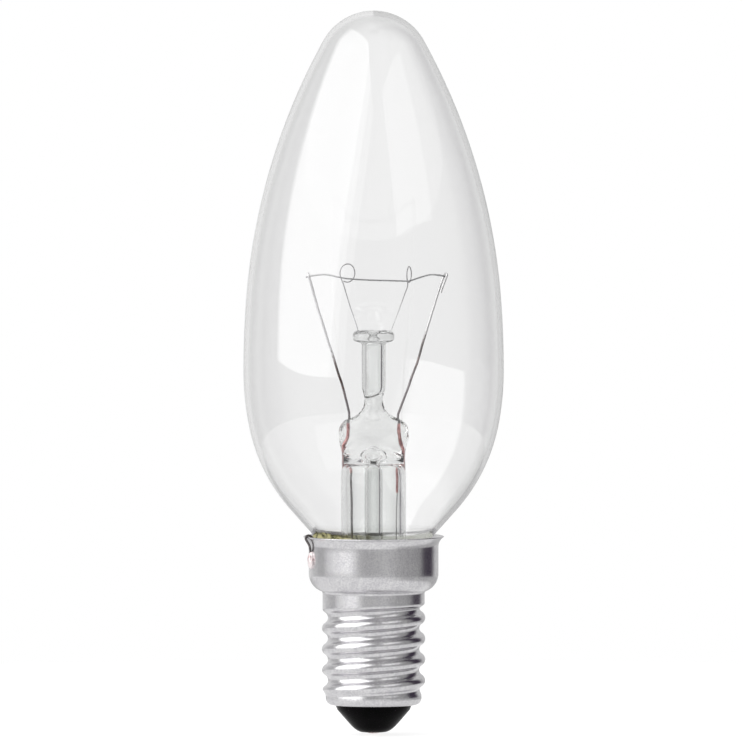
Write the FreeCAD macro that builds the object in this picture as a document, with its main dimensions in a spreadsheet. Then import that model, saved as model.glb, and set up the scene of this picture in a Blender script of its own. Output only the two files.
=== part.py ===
"""Candle bulb: a clear candle-shaped filament lamp with a small screw cap.

The frame: millimetres, +Z up through the axis of the lamp to the tip of the glass, +X along the
filament, origin at the lowest point of the centre contact.
"""
import FreeCAD
import Part
import Sketcher
import math
import os
import re
from FreeCAD import Placement, Rotation, Vector

SIZES = {
    # Glass envelope: heights are above the centre contact
    "overall_length": 97.25,
    "belly_diameter": 35.0,
    "belly_height": 48.83,
    "tip_radius": 7.72,
    "side_fullness": 1.344,
    "crown_fullness": 0.8756,
    "under_belly_fullness": 1.25,
    "under_turn_fullness": 0.7915,
    "cone_reach": 0.502,
    "cone_foot_height": 25.49,
    "neck_diameter": 14.0,
    "neck_fillet": 2.0,
    "neck_end_height": 20.8,
    "glass_wall": 0.65,
    # Screw cap: the sheet shell with its rolled knuckle thread
    "sheet_thickness": 0.25,
    "rim_diameter": 18.92,
    "rim_height": 26.5,
    "flare_foot_height": 25.2,
    "skirt_diameter": 17.45,
    "skirt_foot_height": 21.6,
    "shoulder_height": 19.15,
    "collar_diameter": 13.74,
    "thread_major_diameter": 13.89,
    "thread_minor_diameter": 12.29,
    "thread_pitch": 2.822,
    "top_root_height": 17.04,
    "shell_lip_diameter": 10.9,
    "shell_lip_height": 3.9,
    "shell_lip_rounding": 0.85,
    # Cap filling: black glass insulator, contact and solder, cement
    "insulator_end_diameter": 5.7,
    "insulator_end_height": 0.97,
    "insulator_top_height": 7.0,
    "eyelet_diameter": 1.6,
    "eyelet_bore": 0.8,
    "eyelet_top_height": 3.4,
    "contact_diameter": 5.2,
    "contact_edge_height": 0.72,
    "contact_face_height": 0.3,
    "solder_diameter": 3.0,
    "solder_flat_diameter": 1.8,
    "solder_top_height": 1.6,
    "cement_top_height": 26.9,
    # Glass stem: flare tube, press, exhaust tube, support rod
    "flare_tube_diameter": 8.7,
    "flare_tube_wall": 0.8,
    "flare_turn_height": 24.4,
    "flare_turn_radius": 2.2,
    "flare_lip_rise": 1.1,
    "press_foot_height": 35.8,
    "press_waist_rise": 1.7,
    "press_waist_width": 8.4,
    "press_rise": 3.8,
    "press_width": 9.4,
    "press_thickness": 3.3,
    "press_shoulder_rise": 6.2,
    "press_shoulder_width": 7.2,
    "press_neck_rise": 7.6,
    "press_neck_radius": 1.0,
    "press_shoulder_radius": 1.2,
    "press_edge_radius": 2.2,
    "press_waist_radius": 3.0,
    "press_pinch_rise": 2.5,
    "press_pinch_radius": 2.0,
    "bore_end_radius": 0.6,
    "rod_foot_rise": 9.4,
    "rod_foot_diameter": 2.5,
    "exhaust_diameter": 2.45,
    "exhaust_bore": 1.5,
    "exhaust_tip_height": 10.6,
    "exhaust_tip_wall": 0.9,
    "exhaust_hole_diameter": 1.7,
    "exhaust_hole_rise": 1.8,
    "rod_diameter": 3.12,
    "rod_bore": 1.4,
    "rod_rounding": 0.45,
    "rod_foot_wall": 0.7,
    "button_diameter": 5.4,
    "button_rounding": 0.55,
    "rod_length": 7.5,
    "button_thickness": 1.6,
    # Wires and filament
    "lead_diameter": 0.32,
    "lead_seat_gap": 0.02,
    "seal_wire_diameter": 0.4,
    "fuse_wire_diameter": 0.16,
    "fuse_knob_diameter": 0.62,
    "support_diameter": 0.14,
    "filament_diameter": 0.25,
    "lead_spacing": 6.5,
    "weld_rise": 5.7,
    "seal_foot_drop": 0.8,
    "fuse_top_drop": 3.25,
    "fuse_foot_height": 23.4,
    "clamp_rise": 26.1,
    "clamp_gap": 0.26,
    "clamp_tail_length": 2.3,
    "left_clamp_reach": 8.8,
    "right_clamp_reach": 9.75,
    "left_loop_reach": 3.35,
    "left_loop_front": 0.96,
    "left_loop_radius": 1.24,
    "right_loop_reach": 4.96,
    "right_loop_front": 1.05,
    "right_loop_radius": 0.93,
    "loop_rise": 26.1,
    "left_support_inset": 0.85,
    "right_support_inset": 0.65,
    "support_foot_back": 0.25,
    "support_depth": 0.9,
    "lead_bend": 3.0,
    "support_bend": 1.2,
    "filament_bend": 2.0,
    "left_lead_straight": 6.5,
    "lead_inset": 0.1,
    "lead_drop": 3.9,
    "lead_turn_rise": 3.2,
    "lead_seat_drop": 1.9,
    "lead_in_solder": 0.6,
    "fuse_lean": 0.3,
    "side_contact_angle": 198.0,
    "side_solder_height": 23.6,
    "side_solder_radius": 1.45,
    "side_solder_sink": 0.75,
}
THREAD_CRESTS = 4

# The cone would meet the belly's width at a share, its reach, of the way up to the belly
CONE_RISE = "(belly_height - cone_foot_height)"
CONE_ANGLE = f"atan((belly_diameter - neck_diameter) / 2 / (cone_reach * {CONE_RISE}))"

# The plain arcs that would join the belly to the nose, and the cone to the belly. The glass has
# two arcs in the place of each, whose fullness is their radius as a share of the plain one.
PLAIN_SIDE = ("((belly_diameter / 2) ^ 2 + (overall_length - belly_height - tip_radius) ^ 2"
              " - tip_radius ^ 2) / (belly_diameter - 2 * tip_radius)")
PLAIN_UNDER = f"(1 - cone_reach) * {CONE_RISE} / tan({CONE_ANGLE} / 2)"
ARC_RADII = {
    "side": f"side_fullness * {PLAIN_SIDE}",
    "crown": f"crown_fullness * {PLAIN_SIDE}",
    "under_belly": f"under_belly_fullness * {PLAIN_UNDER}",
    "under_turn": f"under_turn_fullness * {PLAIN_UNDER}",
    "tip": "tip_radius",
}

# Heights in the stem, all counted from the foot of the press
ROD_FOOT = "(press_foot_height + rod_foot_rise)"
BUTTON_BASE = f"({ROD_FOOT} + rod_length)"
BUTTON_TOP = f"({BUTTON_BASE} + button_thickness)"
CLAMP_HEIGHT = "(press_foot_height + clamp_rise)"
LOOP_HEIGHT = "(press_foot_height + loop_rise)"

# A knuckle arc meets the next one halfway between crest and root
KNUCKLE_DEPTH = "(thread_major_diameter - thread_minor_diameter) / 2"
KNUCKLE_RADIUS = f"(thread_pitch ^ 2 / 16 + ({KNUCKLE_DEPTH}) ^ 2 / 4) / ({KNUCKLE_DEPTH})"

# Directions of the leads at the clamps, and turns of the supports' loops, in degrees
LEFT_LEAN = Vector(-0.277, 0, 0.961)
RIGHT_LEAN = Vector(0.325, 0, 0.946)
RIGHT_FOLD = Vector(0.574, -0.819, 0)
LEFT_LOOP_TURN = 42
RIGHT_LOOP_TURN = 70
LOOP_START = 205
LOOP_SWEEP = 325

# The share of a straight run that the arc at its end may take
MOST_OF_A_RUN = 0.48

# Bends of the wires in the press: how far outwards from the weld, and how far above it
LEFT_LEAD_BENDS = ((0.02, 1.7), (1.05, 5.7))
RIGHT_LEAD_BENDS = ((0.0, 1.5), (1.21, 4.6), (2.58, 8.5))
LEFT_SEAL_BENDS = ((0.1, -1.7), (0.55, -3.9))
RIGHT_SEAL_BENDS = ((0.0, -2.5), (0.5, -4.5), (0.05, -6.3))

# The left outer lead under the neck and over the rim: how far each bend lies outside the
# stated diameter and above the stated height
OUTER_LEAD_BENDS = (
    ("neck_diameter", -3.4, "neck_end_height", -0.2),
    ("neck_diameter", 0.0, "neck_end_height", -0.55),
    ("neck_diameter", 0.75, "neck_end_height", -0.1),
    ("neck_diameter", 0.75, "rim_height", -1.9),
    ("rim_diameter", -1.16, "rim_height", -0.3),
    ("rim_diameter", -0.31, "rim_height", 0.45),
    ("rim_diameter", 0.29, "rim_height", 0.1),
    ("rim_diameter", -0.11, "rim_height", -0.9),
)

# The fuse: how far inwards from its knob, and how far above its foot
FUSE_BENDS = ((0.15, 5.6), (0.1, 2.4))

# The lead to the centre contact: how far from the axis, and how far above the insulator
INNER_LEAD_BENDS = ((2.3, 6.0), (1.2, 2.2), (0.0, 0.0))

# The filament between a clamp and the loop next to it: how far inwards from the clamp, how far
# in front of the lamp's middle, and how far above the fold
LEFT_FILAMENT_BENDS = ((2.2, 0.45, -0.15), (3.9, 0.85, -0.5))
RIGHT_FILAMENT_BENDS = ((3.45, 1.05, -0.4), (2.05, 0.98, -0.12))

# The filament between the loops: the share of the way, and how far it comes forward
MIDDLE_FILAMENT_BENDS = ((0.26, 0.12), (0.64, 0.16))

# How far under its fold each clamp holds the filament
LEFT_GRIP_DROP = 0.6
RIGHT_GRIP_DROP = 0.45

# The main leg of a clamp starts this many tail lengths under the fold
CLAMP_LEG_SHARE = 1.4

doc = FreeCAD.newDocument("CandleBulb")
sheet = doc.addObject("Spreadsheet::Sheet", "Size")


def fill_sheet():
    """Writes each driving size as a plain number with its alias."""
    for row, (alias, value) in enumerate(SIZES.items(), start=1):
        sheet.set(f"A{row}", alias)
        sheet.set(f"B{row}", str(value))
        sheet.setAlias(f"B{row}", alias)
    doc.recompute()


def size(alias):
    """The value of one cell of the sheet."""
    return float(sheet.get(alias))


def on_sheet(expression):
    """The expression with each size read from the sheet."""
    return re.sub(r"[a-z_]+", lambda word: f"Size.{word[0]}" if word[0] in SIZES else word[0],
                  expression)


def value(expression):
    """The number that an expression on the sheet gives."""
    return float(sheet.evalExpression(on_sheet(expression)))


def origin_plane(body, role):
    """One of the body's own origin planes."""
    return next(feature for feature in body.Origin.OriginFeatures if feature.Role == role)


def new_body(name):
    """An empty PartDesign body."""
    body = doc.addObject("PartDesign::Body", name)
    body.Label = name
    return body


class Outline:
    """A closed half section in the XZ plane, each of its points bound to the sheet.

    Steps go round the section. corner() is a sharp point, rounded() a corner with a tangent
    arc, and curve() an arc from the last point to the next, tangent to the line beside it or of
    a stated radius. Every size is an expression on the sheet.
    """

    def __init__(self, body, name="Section", plane="XZ_Plane"):
        self.body = body
        self.sketch = body.newObject("Sketcher::SketchObject", name)
        self.sketch.AttachmentSupport = (origin_plane(body, plane), [""])
        self.sketch.MapMode = "FlatFace"
        self.points = []

    def corner(self, x, z):
        self.points.append({"x": x, "z": z})

    def rounded(self, x, z, radius):
        self.points.append({"x": x, "z": z, "radius": radius})

    def curve(self, x, z, turn, radius=None, tangent=None):
        """An arc to the point: turn is 1 to the left and -1 to the right."""
        self.points.append({"x": x, "z": z, "turn": turn, "bend": radius, "tangent": tangent})

    def bind(self, constraint, expression, label):
        """Adds a constraint with a name, and an expression for its value."""
        index = self.sketch.addConstraint(constraint)
        self.sketch.renameConstraint(index, label)
        self.sketch.setExpression(f"Constraints.{label}", on_sheet(expression))

    def pin(self, geometry, end, number):
        """Holds one end of a line or arc, or a point, at its place on the sheet."""
        point = self.points[number]
        place = self.place(number)
        if point["x"] == "0":
            self.sketch.addConstraint(Sketcher.Constraint("PointOnObject", geometry, end, -2))
        else:
            along = Sketcher.Constraint("DistanceX", -1, 1, geometry, end, place.x)
            self.bind(along, point["x"], f"x{number}")
        if point["z"] == "0":
            self.sketch.addConstraint(Sketcher.Constraint("PointOnObject", geometry, end, -1))
        else:
            up = Sketcher.Constraint("DistanceY", -1, 1, geometry, end, place.y)
            self.bind(up, point["z"], f"z{number}")

    def place(self, number):
        point = self.points[number % len(self.points)]
        return Vector(value(point["x"]), value(point["z"]), 0)

    def corner_arc(self, number):
        """The arc that rounds a corner, with its entry, exit and turn."""
        here = self.place(number)
        back = (self.place(number - 1) - here).normalize()
        ahead = (self.place(number + 1) - here).normalize()
        half = back.getAngle(ahead) / 2
        radius = value(self.points[number]["radius"])
        reach = radius / math.tan(half)
        centre = here + (back + ahead).normalize() * (radius / math.sin(half))
        entry, leave = here + back * reach, here + ahead * reach
        turn = 1 if back.cross(ahead).z < 0 else -1
        return arc_between(centre, entry, leave, turn), entry, leave, turn

    def draw(self):
        """Draws and constrains the whole outline."""
        count = len(self.points)
        rounds = {n: self.corner_arc(n) for n in range(count) if "radius" in self.points[n]}
        sides = []
        for number in range(count):
            start = rounds[number][2] if number in rounds else self.place(number)
            after = (number + 1) % count
            end = rounds[after][1] if after in rounds else self.place(after)
            step = self.points[after]
            if "turn" in step:
                centre = self.curve_centre(number, after, start, end)
                shape = arc_between(centre, start, end, step["turn"])
                ends = (1, 2) if step["turn"] > 0 else (2, 1)
            else:
                shape = Part.LineSegment(start, end)
                ends = (1, 2)
            sides.append((self.sketch.addGeometry(shape, False), ends))
        for number in range(count):
            self.join(number, sides, rounds)
        for number, step in enumerate(self.points):
            if step.get("bend"):
                radius = Sketcher.Constraint("Radius", sides[number - 1][0], value(step["bend"]))
                self.bind(radius, step["bend"], f"bend{number}")
        return self.sketch

    def curve_centre(self, number, after, start, end):
        """The centre of a free arc, from its radius or from the line that it is tangent to."""
        step = self.points[after]
        middle = (start + end) * 0.5
        chord = end - start
        across = Vector(-chord.y, chord.x, 0).normalize() * step["turn"]
        if step["bend"]:
            radius = value(step["bend"])
            return middle + across * math.sqrt(radius ** 2 - chord.Length ** 2 / 4)
        if step["tangent"] == "before":
            touch, line = start, start - self.place(number - 1)
        else:
            touch, line = end, self.place(after + 1) - end
        normal = Vector(-line.y, line.x, 0).normalize()
        reach = (middle - touch).dot(chord) / normal.dot(chord)
        return touch + normal * reach

    def join(self, number, sides, rounds):
        """Joins the side that arrives at a point to the side that leaves it."""
        arriving, (_, last) = sides[number - 1]
        leaving, (first, _) = sides[number]
        if number not in rounds:
            kind = "Tangent" if self.is_smooth(number) else "Coincident"
            self.sketch.addConstraint(Sketcher.Constraint(kind, arriving, last, leaving, first))
            self.pin(leaving, first, number)
            return
        arc, _, _, turn = rounds[number]
        entry, leave = (1, 2) if turn > 0 else (2, 1)
        bend = self.sketch.addGeometry(arc, False)
        mark = self.sketch.addGeometry(Part.Point(self.place(number)), True)
        for constraint in (
            Sketcher.Constraint("Tangent", arriving, last, bend, entry),
            Sketcher.Constraint("Tangent", bend, leave, leaving, first),
            Sketcher.Constraint("PointOnObject", mark, 1, arriving),
            Sketcher.Constraint("PointOnObject", mark, 1, leaving),
        ):
            self.sketch.addConstraint(constraint)
        radius = Sketcher.Constraint("Radius", bend, arc.Radius)
        self.bind(radius, self.points[number]["radius"], f"rounding{number}")
        self.pin(mark, 1, number)

    def is_smooth(self, number):
        """Whether a curve that starts or ends at this point is tangent to the line there."""
        after = self.points[(number + 1) % len(self.points)]
        return self.points[number].get("tangent") == "after" or after.get("tangent") == "before"

    def revolve(self):
        """Turns the drawn outline about the lamp's axis."""
        self.draw()
        turned = self.body.newObject("PartDesign::Revolution", "Turned")
        turned.Profile = self.sketch
        turned.ReferenceAxis = (self.sketch, ["V_Axis"])
        turned.Angle = 360
        return self.body


def arc_between(centre, start, end, turn):
    """A circular arc about a centre from start to end, to the left (1) or the right (-1)."""
    if turn < 0:
        start, end = end, start
    circle = Part.Circle(centre, Vector(0, 0, 1), (start - centre).Length)
    first = math.atan2(start.y - centre.y, start.x - centre.x)
    last = math.atan2(end.y - centre.y, end.x - centre.x)
    if last <= first:
        last += 2 * math.pi
    return Part.ArcOfCircle(circle, first, last)


def cut(name, base, *tools):
    """The base with the shape of every tool taken out of it."""
    for number, tool in enumerate(tools, start=1):
        result = doc.addObject("Part::Cut", f"{name}_cut{number}")
        result.Base = base
        result.Tool = tool
        base = result
    base.Label = name
    return base


def glass_envelope():
    """The blown bulb: one wall of tangent arcs from the neck to the tip, turned about the axis."""
    body = new_body("glass_envelope")
    sketch = body.newObject("Sketcher::SketchObject", "Wall")
    sketch.AttachmentSupport = (origin_plane(body, "XZ_Plane"), [""])
    sketch.MapMode = "FlatFace"
    outer_foot, outer_tip = wall_side(sketch, "0", "outer")
    inner_foot, inner_tip = wall_side(sketch, "glass_wall", "inner")
    for first, second in ((outer_foot, inner_foot), (outer_tip, inner_tip)):
        ends = [sketch.getPoint(*first), sketch.getPoint(*second)]
        line = sketch.addGeometry(Part.LineSegment(*ends), False)
        sketch.addConstraint(Sketcher.Constraint("Coincident", line, 1, *first))
        sketch.addConstraint(Sketcher.Constraint("Coincident", line, 2, *second))
    turned = body.newObject("PartDesign::Revolution", "Blown")
    turned.Profile = sketch
    turned.ReferenceAxis = (sketch, ["V_Axis"])
    turned.Angle = 360
    return body


def wall_side(sketch, inset, side):
    """One side of the glass wall, moved in by the inset; returns its two ends."""
    inward = value(inset)
    neck = size("neck_diameter") / 2 - inward
    belly = size("belly_diameter") / 2 - inward
    tip = size("overall_length") - inward
    angle = math.radians(value(CONE_ANGLE))
    foot = size("cone_foot_height") + inward * math.tan(angle / 2)
    radii = {name: value(radius) - inward for name, radius in ARC_RADII.items()}
    fillet = size("neck_fillet") + inward
    slope = Vector(math.sin(angle), math.cos(angle), 0)
    inside = Vector(-slope.y, slope.x, 0)
    corner = Vector(neck, foot, 0)
    belly_point = Vector(belly, size("belly_height"), 0)

    # centres of the arcs, each found from the lines or arcs that it touches
    reach = fillet * math.tan(angle / 2)
    fillet_centre = corner + Vector(fillet, -reach, 0)
    belly_centre = belly_point - Vector(radii["under_belly"], 0, 0)
    side_centre = belly_point - Vector(radii["side"], 0, 0)
    tip_centre = Vector(0, tip - radii["tip"], 0)
    row = corner + inside * radii["under_turn"] - belly_centre
    gap = radii["under_belly"] - radii["under_turn"]
    along = row.dot(slope)
    run = -along + math.sqrt(along ** 2 - row.dot(row) + gap ** 2)
    turn_centre = belly_centre + row + slope * run
    crown_centre = meeting_point(
        tip_centre, radii["crown"] - radii["tip"],
        side_centre, radii["side"] - radii["crown"])

    fillet_foot = corner - Vector(0, reach, 0)
    fillet_top = corner + slope * reach
    cone_top = turn_centre - inside * radii["under_turn"]
    turn_top = touch_point(belly_centre, turn_centre, radii["under_turn"])
    side_top = touch_point(side_centre, crown_centre, radii["crown"])
    crown_top = touch_point(crown_centre, tip_centre, radii["tip"])
    foot_point = Vector(neck, size("neck_end_height"), 0)
    shapes = [
        Part.LineSegment(foot_point, fillet_foot),
        arc_between(fillet_centre, fillet_foot, fillet_top, -1),
        Part.LineSegment(fillet_top, cone_top),
        arc_between(turn_centre, cone_top, turn_top, 1),
        arc_between(belly_centre, turn_top, belly_point, 1),
        arc_between(side_centre, belly_point, side_top, 1),
        arc_between(crown_centre, side_top, crown_top, 1),
        arc_between(tip_centre, crown_top, Vector(0, tip, 0), 1),
    ]
    line, foot_arc, cone, turn, under, above, crown, cap = [
        sketch.addGeometry(shape, False) for shape in shapes]
    add = sketch.addConstraint
    for arriving, last, leaving, first in (
        (line, 2, foot_arc, 2), (foot_arc, 1, cone, 1), (cone, 2, turn, 1), (turn, 2, under, 1),
        (under, 2, above, 1), (above, 2, crown, 1), (crown, 2, cap, 1),
    ):
        add(Sketcher.Constraint("Tangent", arriving, last, leaving, first))
    add(Sketcher.Constraint("Vertical", line))
    add(Sketcher.Constraint("Horizontal", under, 3, under, 2))
    add(Sketcher.Constraint("PointOnObject", cap, 2, -2))
    add(Sketcher.Constraint("PointOnObject", cap, 3, -2))
    mark = sketch.addGeometry(Part.Point(corner), True)
    add(Sketcher.Constraint("PointOnObject", mark, 1, cone))
    add(Sketcher.Constraint("PointOnObject", mark, 1, line))

    def bind(constraint, expression, label):
        index = add(constraint)
        sketch.renameConstraint(index, f"{side}_{label}")
        sketch.setExpression(f"Constraints.{side}_{label}", on_sheet(expression))

    bind(Sketcher.Constraint("Radius", foot_arc, fillet), f"neck_fillet + {inset}", "neck_fillet")
    for arc, name in ((turn, "under_turn"), (under, "under_belly"), (above, "side"),
                      (crown, "crown"), (cap, "tip")):
        bind(Sketcher.Constraint("Radius", arc, radii[name]), f"{ARC_RADII[name]} - {inset}",
             f"{name}_radius")
    bind(Sketcher.Constraint("DistanceX", -1, 1, line, 1, neck),
         f"neck_diameter / 2 - {inset}", "neck")
    bind(Sketcher.Constraint("DistanceY", -1, 1, line, 1, foot_point.y),
         "neck_end_height", "neck_end")
    bind(Sketcher.Constraint("DistanceY", -1, 1, mark, 1, foot),
         f"cone_foot_height + {inset} * tan({CONE_ANGLE} / 2)", "cone_foot")
    bind(Sketcher.Constraint("Angle", line, 1, cone, 1, -angle),
         f"-{CONE_ANGLE}", "cone_angle")
    bind(Sketcher.Constraint("DistanceX", -1, 1, under, 2, belly),
         f"belly_diameter / 2 - {inset}", "belly")
    bind(Sketcher.Constraint("DistanceY", -1, 1, under, 2, belly_point.y),
         "belly_height", "belly_height")
    bind(Sketcher.Constraint("DistanceY", -1, 1, cap, 2, tip),
         f"overall_length - {inset}", "tip")
    return (line, 1), (cap, 2)


def meeting_point(first, first_reach, second, second_reach):
    """The lower of the two points at the stated distances from two centres."""
    span = second - first
    along = (span.Length ** 2 + first_reach ** 2 - second_reach ** 2) / (2 * span.Length)
    aside = math.sqrt(first_reach ** 2 - along ** 2)
    direction = Vector(span).normalize()
    candidates = [first + direction * along + Vector(-direction.y, direction.x, 0) * side
                  for side in (aside, -aside)]
    return min(candidates, key=lambda point: point.y)


def touch_point(outer_centre, inner_centre, inner_radius):
    """Where an arc touches a larger one from the inside."""
    return inner_centre + (inner_centre - outer_centre).normalize() * inner_radius



def screw_shell():
    """The drawn sheet sleeve: flared rim, skirt, shoulder, collar, rolled knuckles and lip."""
    body = new_body("screw_shell")
    wall = Outline(body)
    rim, skirt, collar = "rim_diameter / 2", "skirt_diameter / 2", "collar_diameter / 2"
    middle = "(thread_major_diameter + thread_minor_diameter) / 4"
    core = "thread_minor_diameter / 2 - sheet_thickness"
    first = "top_root_height + thread_pitch / 4"
    wall.corner(rim, "rim_height")
    wall.curve(skirt, "flare_foot_height", turn=1, tangent="after")
    wall.corner(skirt, "skirt_foot_height")
    wall.curve(collar, "shoulder_height", turn=-1, tangent="before")
    wall.corner(collar, f"{first} + thread_pitch / 5")
    wall.curve(middle, first, turn=-1, tangent="before")
    for half in range(1, 2 * THREAD_CRESTS + 2):
        turn = 1 if half % 2 else -1
        wall.curve(middle, f"{first} - {half} * thread_pitch / 2", turn, radius=KNUCKLE_RADIUS)
    wall.rounded(middle, "shell_lip_height", "shell_lip_rounding")
    wall.corner("shell_lip_diameter / 2", "shell_lip_height")
    wall.corner("shell_lip_diameter / 2", "shell_lip_height + sheet_thickness")
    wall.rounded(core, "shell_lip_height + sheet_thickness", "shell_lip_rounding - sheet_thickness")
    wall.corner(core, first)
    wall.corner(f"{collar} - sheet_thickness", f"{first} + thread_pitch / 4")
    wall.corner(f"{collar} - sheet_thickness", "shoulder_height + sheet_thickness")
    wall.curve(f"{skirt} - sheet_thickness", "skirt_foot_height", turn=1, tangent="after")
    wall.corner(f"{skirt} - sheet_thickness", "flare_foot_height")
    wall.curve(f"{rim} - sheet_thickness", "rim_height", turn=-1, tangent="before")
    return wall.revolve()


def insulator():
    """The black glass that fills the lip of the shell and carries the centre contact."""
    wall = Outline(new_body("insulator"))
    wall.corner("eyelet_diameter / 2", "insulator_end_height")
    wall.corner("insulator_end_diameter / 2", "insulator_end_height")
    wall.corner("shell_lip_diameter / 2", "shell_lip_height")
    wall.corner("shell_lip_diameter / 2", "shell_lip_height + sheet_thickness")
    core = "thread_minor_diameter / 2 - sheet_thickness"
    wall.rounded(core, "shell_lip_height + sheet_thickness", "shell_lip_rounding - sheet_thickness")
    wall.corner(core, "insulator_top_height")
    wall.corner("eyelet_diameter / 2", "insulator_top_height")
    return wall.revolve()


def centre_contact():
    """The brass contact plate with the eyelet that holds it in the insulator."""
    wall = Outline(new_body("centre_contact"))
    wall.corner("eyelet_bore / 2", "contact_face_height")
    wall.corner("solder_diameter / 2", "contact_face_height")
    wall.corner("contact_diameter / 2", "contact_edge_height")
    wall.corner("contact_diameter / 2", "insulator_end_height")
    wall.corner("eyelet_diameter / 2", "insulator_end_height")
    wall.corner("eyelet_diameter / 2", "eyelet_top_height")
    wall.corner("eyelet_bore / 2", "eyelet_top_height")
    return wall.revolve()


def centre_solder(lead):
    """The solder pip that closes the eyelet round the lead and touches the lamp holder."""
    pip = Outline(new_body("solder_blank"))
    pip.corner("0", "0")
    pip.corner("solder_flat_diameter / 2", "0")
    pip.curve("solder_diameter / 2", "contact_face_height", turn=1, tangent="before")
    pip.corner("eyelet_bore / 2", "contact_face_height")
    pip.corner("eyelet_bore / 2", "solder_top_height")
    pip.corner("0", "solder_top_height")
    return cut("centre_solder", pip.revolve(), lead)


def basing_cement(glass, lead):
    """The cement ring that fills the space from the glass neck to the skirt of the shell."""
    ring = Outline(new_body("cement_blank"))
    in_glass = "neck_diameter / 2 - glass_wall / 2"
    cone_rise = f"(cement_top_height - cone_foot_height) * tan({CONE_ANGLE})"
    ring.corner(in_glass, "skirt_foot_height")
    ring.corner("skirt_diameter / 2 - sheet_thickness", "skirt_foot_height")
    ring.corner("skirt_diameter / 2 - sheet_thickness", "flare_foot_height")
    ring.curve("rim_diameter / 2 - sheet_thickness", "rim_height", turn=-1, tangent="before")
    ring.corner(f"{in_glass} + {cone_rise}", "cement_top_height")
    ring.corner(in_glass, "cone_foot_height")
    return cut("basing_cement", ring.revolve(), glass, lead)


def stem_blank():
    """The flare tube closed and pinched into the press, before the wires are sealed in."""
    body = new_body("stem_blank")
    glass = Outline(body)
    tube = "flare_tube_diameter / 2"
    lip = "neck_diameter / 2 - glass_wall"
    above = "press_foot_height + press"
    glass.corner("rod_foot_diameter / 2", ROD_FOOT)
    glass.rounded("rod_foot_diameter / 2", f"{above}_neck_rise", "press_neck_radius")
    glass.rounded("press_shoulder_width / 2", f"{above}_shoulder_rise", "press_shoulder_radius")
    glass.rounded("press_width / 2", f"{above}_rise", "press_edge_radius")
    glass.rounded("press_waist_width / 2", f"{above}_waist_rise", "press_waist_radius")
    glass.corner(tube, "press_foot_height")
    glass.rounded(tube, "flare_turn_height", "flare_turn_radius")
    glass.corner(lip, "neck_end_height + flare_lip_rise")
    glass.corner(lip, "neck_end_height")
    glass.corner(f"{lip} - flare_tube_wall", "neck_end_height")
    glass.corner(f"{lip} - flare_tube_wall", "neck_end_height + flare_lip_rise")
    glass.rounded(f"{tube} - flare_tube_wall", "flare_turn_height",
                  "flare_turn_radius + flare_tube_wall")
    glass.rounded(f"{tube} - flare_tube_wall", "press_foot_height", "bore_end_radius")
    glass.corner("0", "press_foot_height")
    glass.corner("0", ROD_FOOT)
    glass.revolve()

    side = Outline(body, "Pinch", plane="YZ_Plane")
    side.rounded("press_thickness / 2", f"{above}_pinch_rise", "press_pinch_radius")
    side.corner("press_thickness / 2", ROD_FOOT)
    side.corner("press_width", ROD_FOOT)
    side.corner("press_width", "press_foot_height")
    side.corner(tube, "press_foot_height")
    side.draw()
    pinch = body.newObject("PartDesign::Pocket", "Front")
    pinch.Profile = side.sketch
    pinch.Type = "ThroughAll"
    pinch.Midplane = True
    mirrored = body.newObject("PartDesign::Mirrored", "Back")
    mirrored.Originals = [pinch]
    mirrored.MirrorPlane = (origin_plane(body, "XZ_Plane"), [""])
    body.Tip = mirrored
    return body


def stem_tube(*wires):
    """The press with the wires sealed in it and the exhaust way blown through its front."""
    way_up = doc.addObject("Part::Cylinder", "ExhaustWay")
    way_up.setExpression("Radius", "Size.exhaust_bore / 2")
    way_up.setExpression("Height", "Size.exhaust_hole_rise")
    way_up.setExpression("Placement.Base.z", "Size.press_foot_height")
    way_out = doc.addObject("Part::Cylinder", "ExhaustHole")
    way_out.setExpression("Radius", "Size.exhaust_hole_diameter / 2")
    way_out.setExpression("Height", "Size.press_width")
    way_out.Placement = Placement(Vector(), Rotation(Vector(1, 0, 0), 90))
    way_out.setExpression("Placement.Base.z", "Size.press_foot_height + Size.exhaust_hole_rise")
    return cut("stem_tube", stem_blank(), way_up, way_out, *wires)


def exhaust_tube():
    """The tube that the lamp was pumped through, sealed off at its lower end."""
    tube = Outline(new_body("exhaust_tube"))
    tube.corner("0", "exhaust_tip_height")
    tube.rounded("exhaust_diameter / 2", "exhaust_tip_height", "exhaust_diameter / 3")
    tube.corner("exhaust_diameter / 2", "press_foot_height")
    tube.corner("exhaust_bore / 2", "press_foot_height")
    tube.rounded("exhaust_bore / 2", "exhaust_tip_height + exhaust_tip_wall", "exhaust_bore / 3")
    tube.corner("0", "exhaust_tip_height + exhaust_tip_wall")
    return tube.revolve()


def support_rod(*supports):
    """The hollow glass rod with the button that holds the support wires."""
    rod = Outline(new_body("rod_blank"))
    bore_foot = f"{ROD_FOOT} + rod_foot_wall"
    rod.corner("0", ROD_FOOT)
    rod.rounded("rod_diameter / 2", ROD_FOOT, "rod_rounding")
    rod.corner("rod_diameter / 2", BUTTON_BASE)
    rod.rounded("button_diameter / 2", BUTTON_BASE, "button_rounding")
    rod.rounded("button_diameter / 2", BUTTON_TOP, "button_rounding")
    rod.corner("0", BUTTON_TOP)
    rod.corner("0", BUTTON_BASE)
    rod.corner("rod_bore / 2", BUTTON_BASE)
    rod.corner("rod_bore / 2", bore_foot)
    rod.corner("0", bore_foot)
    return cut("support_rod", rod.revolve(), *supports)


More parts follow.
